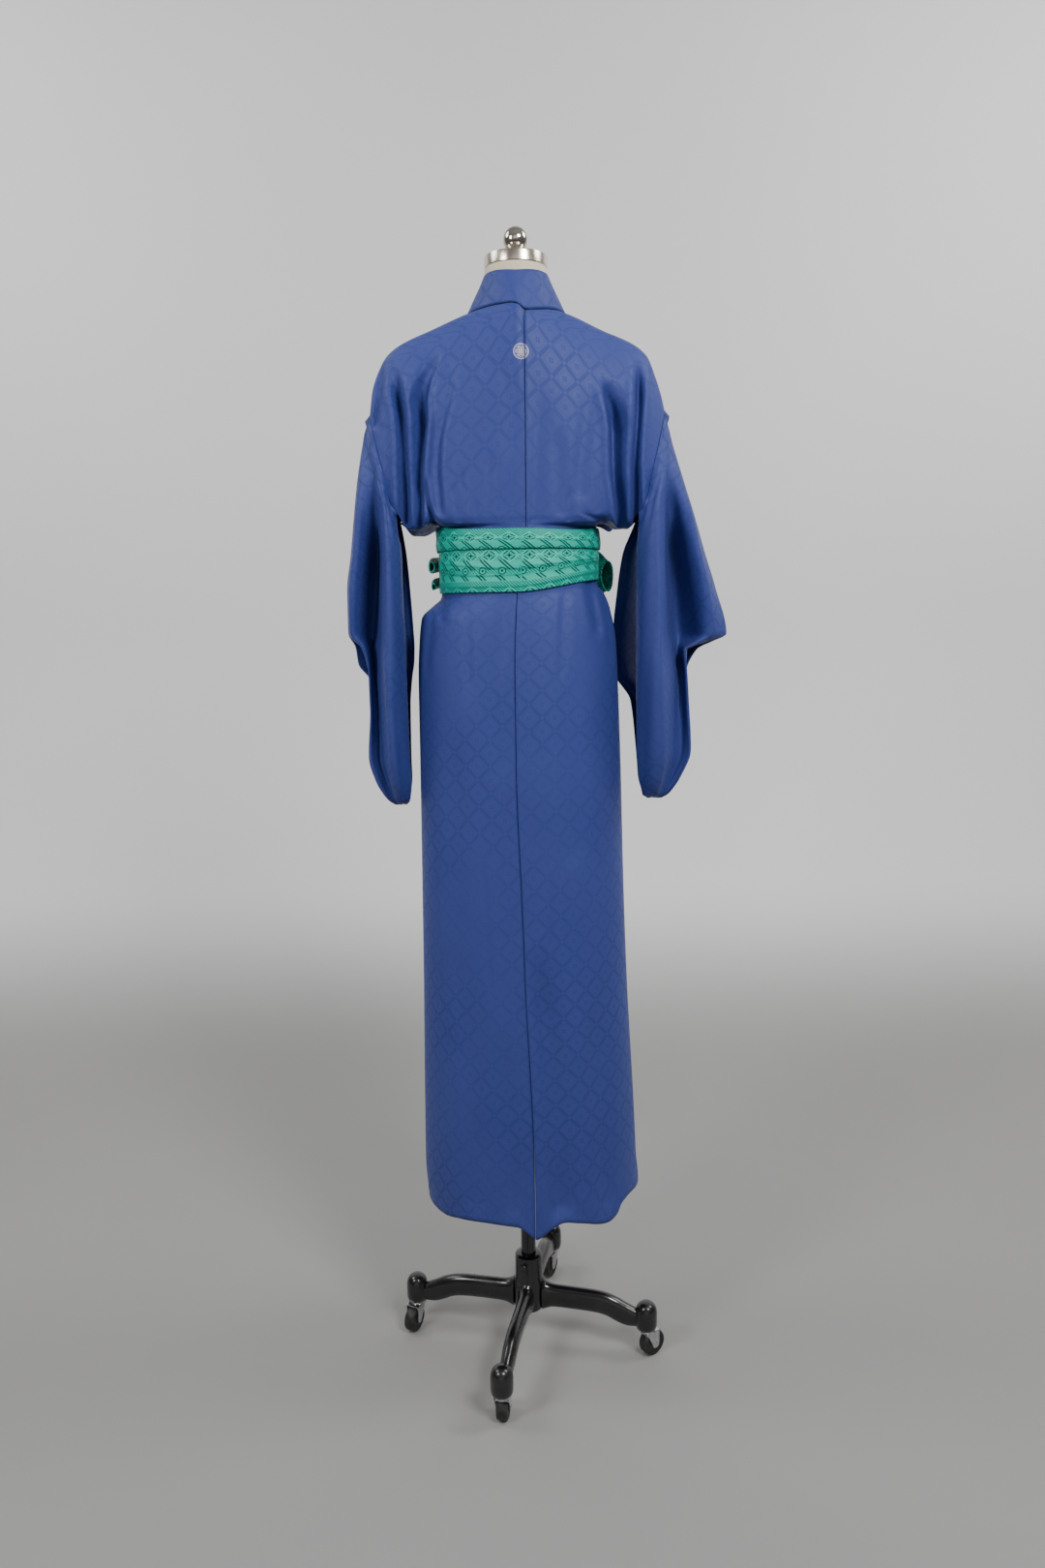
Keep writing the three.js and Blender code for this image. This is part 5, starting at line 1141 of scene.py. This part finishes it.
low_hatch = (fine_lines * row.ramp(0.0105, 0.0115) * row.ramp(0.0205, 0.0195)
             * round_reach.ramp(0.0052, 0.006) * 0.7)
inside.feed(end["Dark"], side_bars | star | dashes | circles | hatch | low_hatch)
inside.feed(end["Pale"], abs(lozenge - 0.98).ramp(0.09, 0.05))

sash_silk, wire = finish("green figured silk")
place = wire.node("ShaderNodeUVMap", uv_map="cloth")("UV")
drawn = wire.group(chart, place)
fibre = wire.group(grain, place, Threads=2000.0)
ground = wire.between(fibre("Shade"), (0.010, 0.40, 0.29, 1), (0.020, 0.55, 0.415, 1))
ground = wire.between(drawn("Pale") * 0.4, ground, (0.07, 0.78, 0.6, 1))
wire.dress({"Base Color": wire.between(drawn("Dark") * 0.97, ground, (0.002, 0.03, 0.026, 1)),
            "Roughness": wire.between(drawn("Dark"), 0.44, 0.6), "Specular IOR Level": 0.15,
            "Sheen Weight": 0.02},
           height=fibre("Height") * 0.5 + drawn("Dark") * -0.5, strength=0.3, distance=0.0003)


def wound_lip(lines, angle, z):
    """How far the layered creases of the sash stand out."""
    out = np.zeros(np.broadcast(angle, z).shape)
    for start_at, stop_at, z_start, z_stop, sag, stand in lines:
        for turn in (-360, 0, 360):
            along = (angle + turn - start_at) / (stop_at - start_at)
            line = mix(z_start, z_stop, along) + sag * np.sin(np.pi * np.clip(along, 0, 1))
            grown = ease(0, 0.14, along) * (1 - ease(0.86, 1, along))
            above = z - line
            out = out + stand * grown * 0.5 * (1 + np.tanh(above / 0.8)) * np.exp(-np.maximum(above, 0) / 11)
    return out


def sash_point(rows, lines, z, angle):
    """Outer face of one turn of the sash, by height and degrees from the centre back."""
    sine, cosine = np.sin(np.radians(angle)), np.cos(np.radians(angle))
    wrapped = np.abs((angle + 180) % 360 - 180)
    grown = 2.5 * ease(90, 105, wrapped) + wound_lip(lines, angle, z)
    x = sine * (np.where(sine >= 0, smooth(rows, "left", z), smooth(rows, "right", z)) + grown)
    y = cosine * (np.where(cosine > 0, smooth(rows, "back", z), smooth(rows, "front", z)) + grown)
    high = ease(1400, 1437, z) * (8 * ease(0.2, 1, cosine) + 4 * ease(0, -122, x))
    return np.stack([x, y, z + sash_tilt(x, z) - high], axis=-1)


# Each turn: its table, creases, foot, top, rows, how deep it shows on the flat cloth, and where on the
# chart the lower turn's top edge lies on it.
WAIST = 0.7436
for name, rows, lines, low, high, count, depth, chart_at in (
        ("lower", SASH_LOWER, WOUND, 1334, 1402, 60, 0.08, 0.052),
        ("upper", SASH_UPPER, TOP_WOUND, 1399, 1437, 36, 0.045, 0.0205)):
    angles = np.linspace(0, 360, 221)[None, :-1]
    heights = np.linspace(low, high, count)[:, None]
    grid = sash_point(rows, lines, heights, angles)
    run = np.stack(np.broadcast_arrays(-(angles / 360 * WAIST), (heights - 1402) / 1000 + chart_at), axis=-1)
    made = sheet_of("sash_turn_" + name, grid, SASH_WALL, run, loop=True)
    keep(made, "form", "green_sash_silk", sash_silk, "sash_" + name)

# The bow: a loop to the wearer's right, two small rolled loops to the left, a knot and two tails.
BOW_LEFT, BOW_RIGHT, BOW_FRONT = 133.4, 129.9, 107.8
LOOPS = [("sash_loop_right", -1, 165, 108, 1382, 1360, 8, 20, 20, 45),
         ("sash_roll_left_upper", 1, 165, 82, 1390, 1376, 7, 9, 9, 15),
         ("sash_roll_left_lower", 1, 165, 84, 1366, 1345, 6, 6.4, 8, 10)]


def bow_point(side, angle, z, out):
    grown = out + 2.5 * ease(90, 105, angle)
    wide = BOW_LEFT if side > 0 else BOW_RIGHT
    x = side * np.sin(np.radians(angle)) * (wide + grown)
    y = np.cos(np.radians(angle)) * (BOW_FRONT + grown)
    return np.stack(np.broadcast_arrays(x, y, z), axis=-1)


for name, side, start_at, stop_at, z_from, z_to, out_a, out_b, up_a, up_b in LOOPS:
    u = np.linspace(0, 1, 50)[:, None]
    v = np.linspace(0, 1, 65)[None, :-1]
    around = v * 2 * math.pi * side
    wave = 1 + 0.05 * (np.sin(3 * around + 5 * u) - 1) * ease(0, 0.5, u)
    pleat = 1 - 0.035 * (1 + np.sin(7 * around + 2.4 * u)) * (1 - ease(0.2, 0.9, u))
    out = mix(out_a, out_b, u ** 1.5)
    tall = mix(up_a, up_b, u)
    closing = wave * pleat * (1 - 0.42 * ease(0.74, 1, u))
    z = mix(z_from, z_to, u) + tall * np.sin(around) * closing
    grid = bow_point(side, mix(start_at, stop_at, u), z, out * (1 + np.cos(around) * closing))
    ring_run = run_of(np.concatenate([grid, grid[:, :1]], axis=1), 1)
    around_run = ring_run[:, :-1]
    run = np.stack([np.broadcast_to(run_of(grid, 0)[:, :1], around_run.shape), around_run], axis=-1)
    centre_line = grid.mean(axis=1)

    def loop_middle(places, line=centre_line):
        nearest = np.argmin(((places[:, None, :2] - line[None, :, :2]) ** 2).sum(-1), axis=1)
        return line[nearest]

    made = sheet_of(name + "_silk", grid, SASH_WALL, run, loop=True, middle=loop_middle)
    keep(made, "form", "green_sash_silk", sash_silk, name)

u = np.linspace(0, math.pi, 40)[:, None]
v = np.linspace(0, 2 * math.pi, 73)[None, :-1]
pinch = 1 + 0.08 * np.cos(3 * np.arctan2(np.cos(u) + 0 * v, np.sin(u) * np.cos(v)))
gather = 1 - 0.05 * np.abs(np.sin(5 * v + 1.2 * np.cos(u))) * np.sin(u)
knot = np.stack(np.broadcast_arrays(
    27 * np.sin(u) * np.cos(v) * pinch * gather,
    -124 + 15 * np.sin(u) * np.sin(v) * gather,
    1378 + 26 * np.cos(u) * pinch), axis=-1)
run = np.stack([run_of(knot, 1), run_of(knot, 0)], axis=-1)
knot_middle = np.array([0, -124, 1378.0])
made = sheet_of("sash_knot_silk", knot, SASH_WALL, run, loop=True, middle=lambda places: knot_middle)
keep(made, "form", "green_sash_silk", sash_silk, "sash_knot")

for name, middle_at, foot, half, lift in (("sash_tail_long", 171, 1130, 28, 5.4),
                                          ("sash_tail_short", 196, 1178, 26, 5)):
    u = np.linspace(0, 1, 90)[:, None]
    v = np.linspace(0, 1, 25)[None, :]
    z = mix(1350, foot, u)
    spread = mix(0.62, 1, ease(0, 0.6, u)) * half / 135 * 180 / math.pi
    ripple = 2.2 * np.cos((v - 0.5) * 9) * ease(0, 0.3, u) + 0.5 * np.sin(v * 17 + u * 5) * ease(0, 0.2, u)
    away = lift + 7 * (1 - ease(0, 0.25, u)) + ripple
    grid = ring_point(1, z, middle_at + (v - 0.5) * 2 * spread, 2.5 + away)
    run = np.stack([run_of(grid, 1), run_of(grid, 0)], axis=-1)
    made = sheet_of(name + "_silk", grid, SASH_WALL, run)
    keep(made, "form", "green_sash_silk", sash_silk, name)
    round(half * 2.4 / 1000, 3)
    round((1352 - foot) / 1000, 3)


# ---- Floor, light and camera ----
# A plain sweep that curves up from the floor into a pale wall, its floor part painted darker as painted shade
# where the light falls off low down, soft studio light from behind the robe's shoulders and above, and a camera
# where the photograph's was, at the robe's back.
floor_mesh = bpy.data.meshes.new("studio_floor")
sweep = [(7, 0), (-0.9, 0)] + [(-0.9 - 1.3 * math.sin(a), 1.3 - 1.3 * math.cos(a))
                               for a in np.linspace(0.05, math.pi / 2, 24)] + [(-2.2, 6.5)]
floor_mesh.from_pydata([(x, y, z) for y, z in sweep for x in (-7, 7)], [],
                       [(2 * i, 2 * i + 1, 2 * i + 3, 2 * i + 2) for i in range(len(sweep) - 1)])
floor_mesh.polygons.foreach_set("use_smooth", [True] * len(floor_mesh.polygons))
studio_floor = linked("studio_floor", floor_mesh)
pale, wire = finish("pale floor")
place = wire.place()
cloudy = wire.noise(place, 1.2, 3.0)
height = wire.split(place)[2]
# The floor part is painted a darker grey than the wall: painted shade for the light falling off low down.
shaded_floor_grey = wire.between(cloudy, (0.29, 0.285, 0.28, 1), (0.33, 0.325, 0.32, 1))
wall_grey = wire.between(cloudy, (0.76, 0.76, 0.76, 1), (0.82, 0.82, 0.82, 1))
floor_with_painted_shade = wire.between(height.ramp(0.0, 0.4), shaded_floor_grey, wall_grey, colour=True)
wire.dress({"Base Color": floor_with_painted_shade, "Roughness": 0.85})
floor_mesh.materials.append(pale)

world = bpy.data.worlds.new("studio")
world.use_nodes = True
sky = Wiring(world.node_tree)
_, behind, above = sky.split(sky.node("ShaderNodeTexCoord")("Generated"))
front_box = behind.ramp(0.86, 0.97) * above.ramp(-0.12, 0.1)
background = world.node_tree.nodes["Background"].inputs
sky.feed(background["Strength"], above.ramp(0.2, 0.9) * 0.14 + 0.13 + front_box * 0.6)
background["Color"].default_value = (1.0, 0.99, 0.97, 1)
bpy.context.scene.world = world


def soft_light(name, place, aim, size, power):
    light = bpy.data.lights.new(name, "AREA")
    light.shape = "RECTANGLE"
    light.size, light.size_y = size
    light.energy = power
    made = linked(name, light)
    made.location = place
    direction = np.array(aim, dtype=float) - np.array(place, dtype=float)
    yaw = math.atan2(-direction[0], direction[1])
    pitch = math.atan2(math.hypot(direction[0], direction[1]), -direction[2])
    made.rotation_euler = (pitch, 0, yaw)
    return made


soft_light("key", (-1.1, 1.9, 2.75), (0, 0, 1.5), (0.7, 0.7), 56)
soft_light("side", (1.7, 1.7, 2.3), (0, 0, 1.25), (0.6, 0.9), 30)
soft_light("wall_left", (2.4, -0.2, 3.3), (1.3, -2.2, 1.2), (1.4, 1.4), 44)
soft_light("wall_right", (-2.4, -0.2, 3.3), (-1.3, -2.2, 1.2), (1.4, 1.4), 58)

camera_data = bpy.data.cameras.new("photograph")
camera_data.lens = 25.11
camera_data.sensor_width = 36
camera_data.dof.use_dof = False
camera = linked("photograph", camera_data)
pitch, roll = math.radians(9.06), math.radians(0.74)
forward = np.array([0, -math.cos(pitch), -math.sin(pitch)])
right = np.array([-1.0, 0, 0])
up = np.cross(right, forward)
right, up = right * math.cos(roll) - up * math.sin(roll), up * math.cos(roll) + right * math.sin(roll)
matrix = np.eye(4)
matrix[:3, 0], matrix[:3, 1], matrix[:3, 2] = right, up, -forward
matrix[:3, 3] = (pole_x, 1.8, 1.307)
camera.matrix_world = Matrix(matrix.tolist())
bpy.context.scene.camera = camera
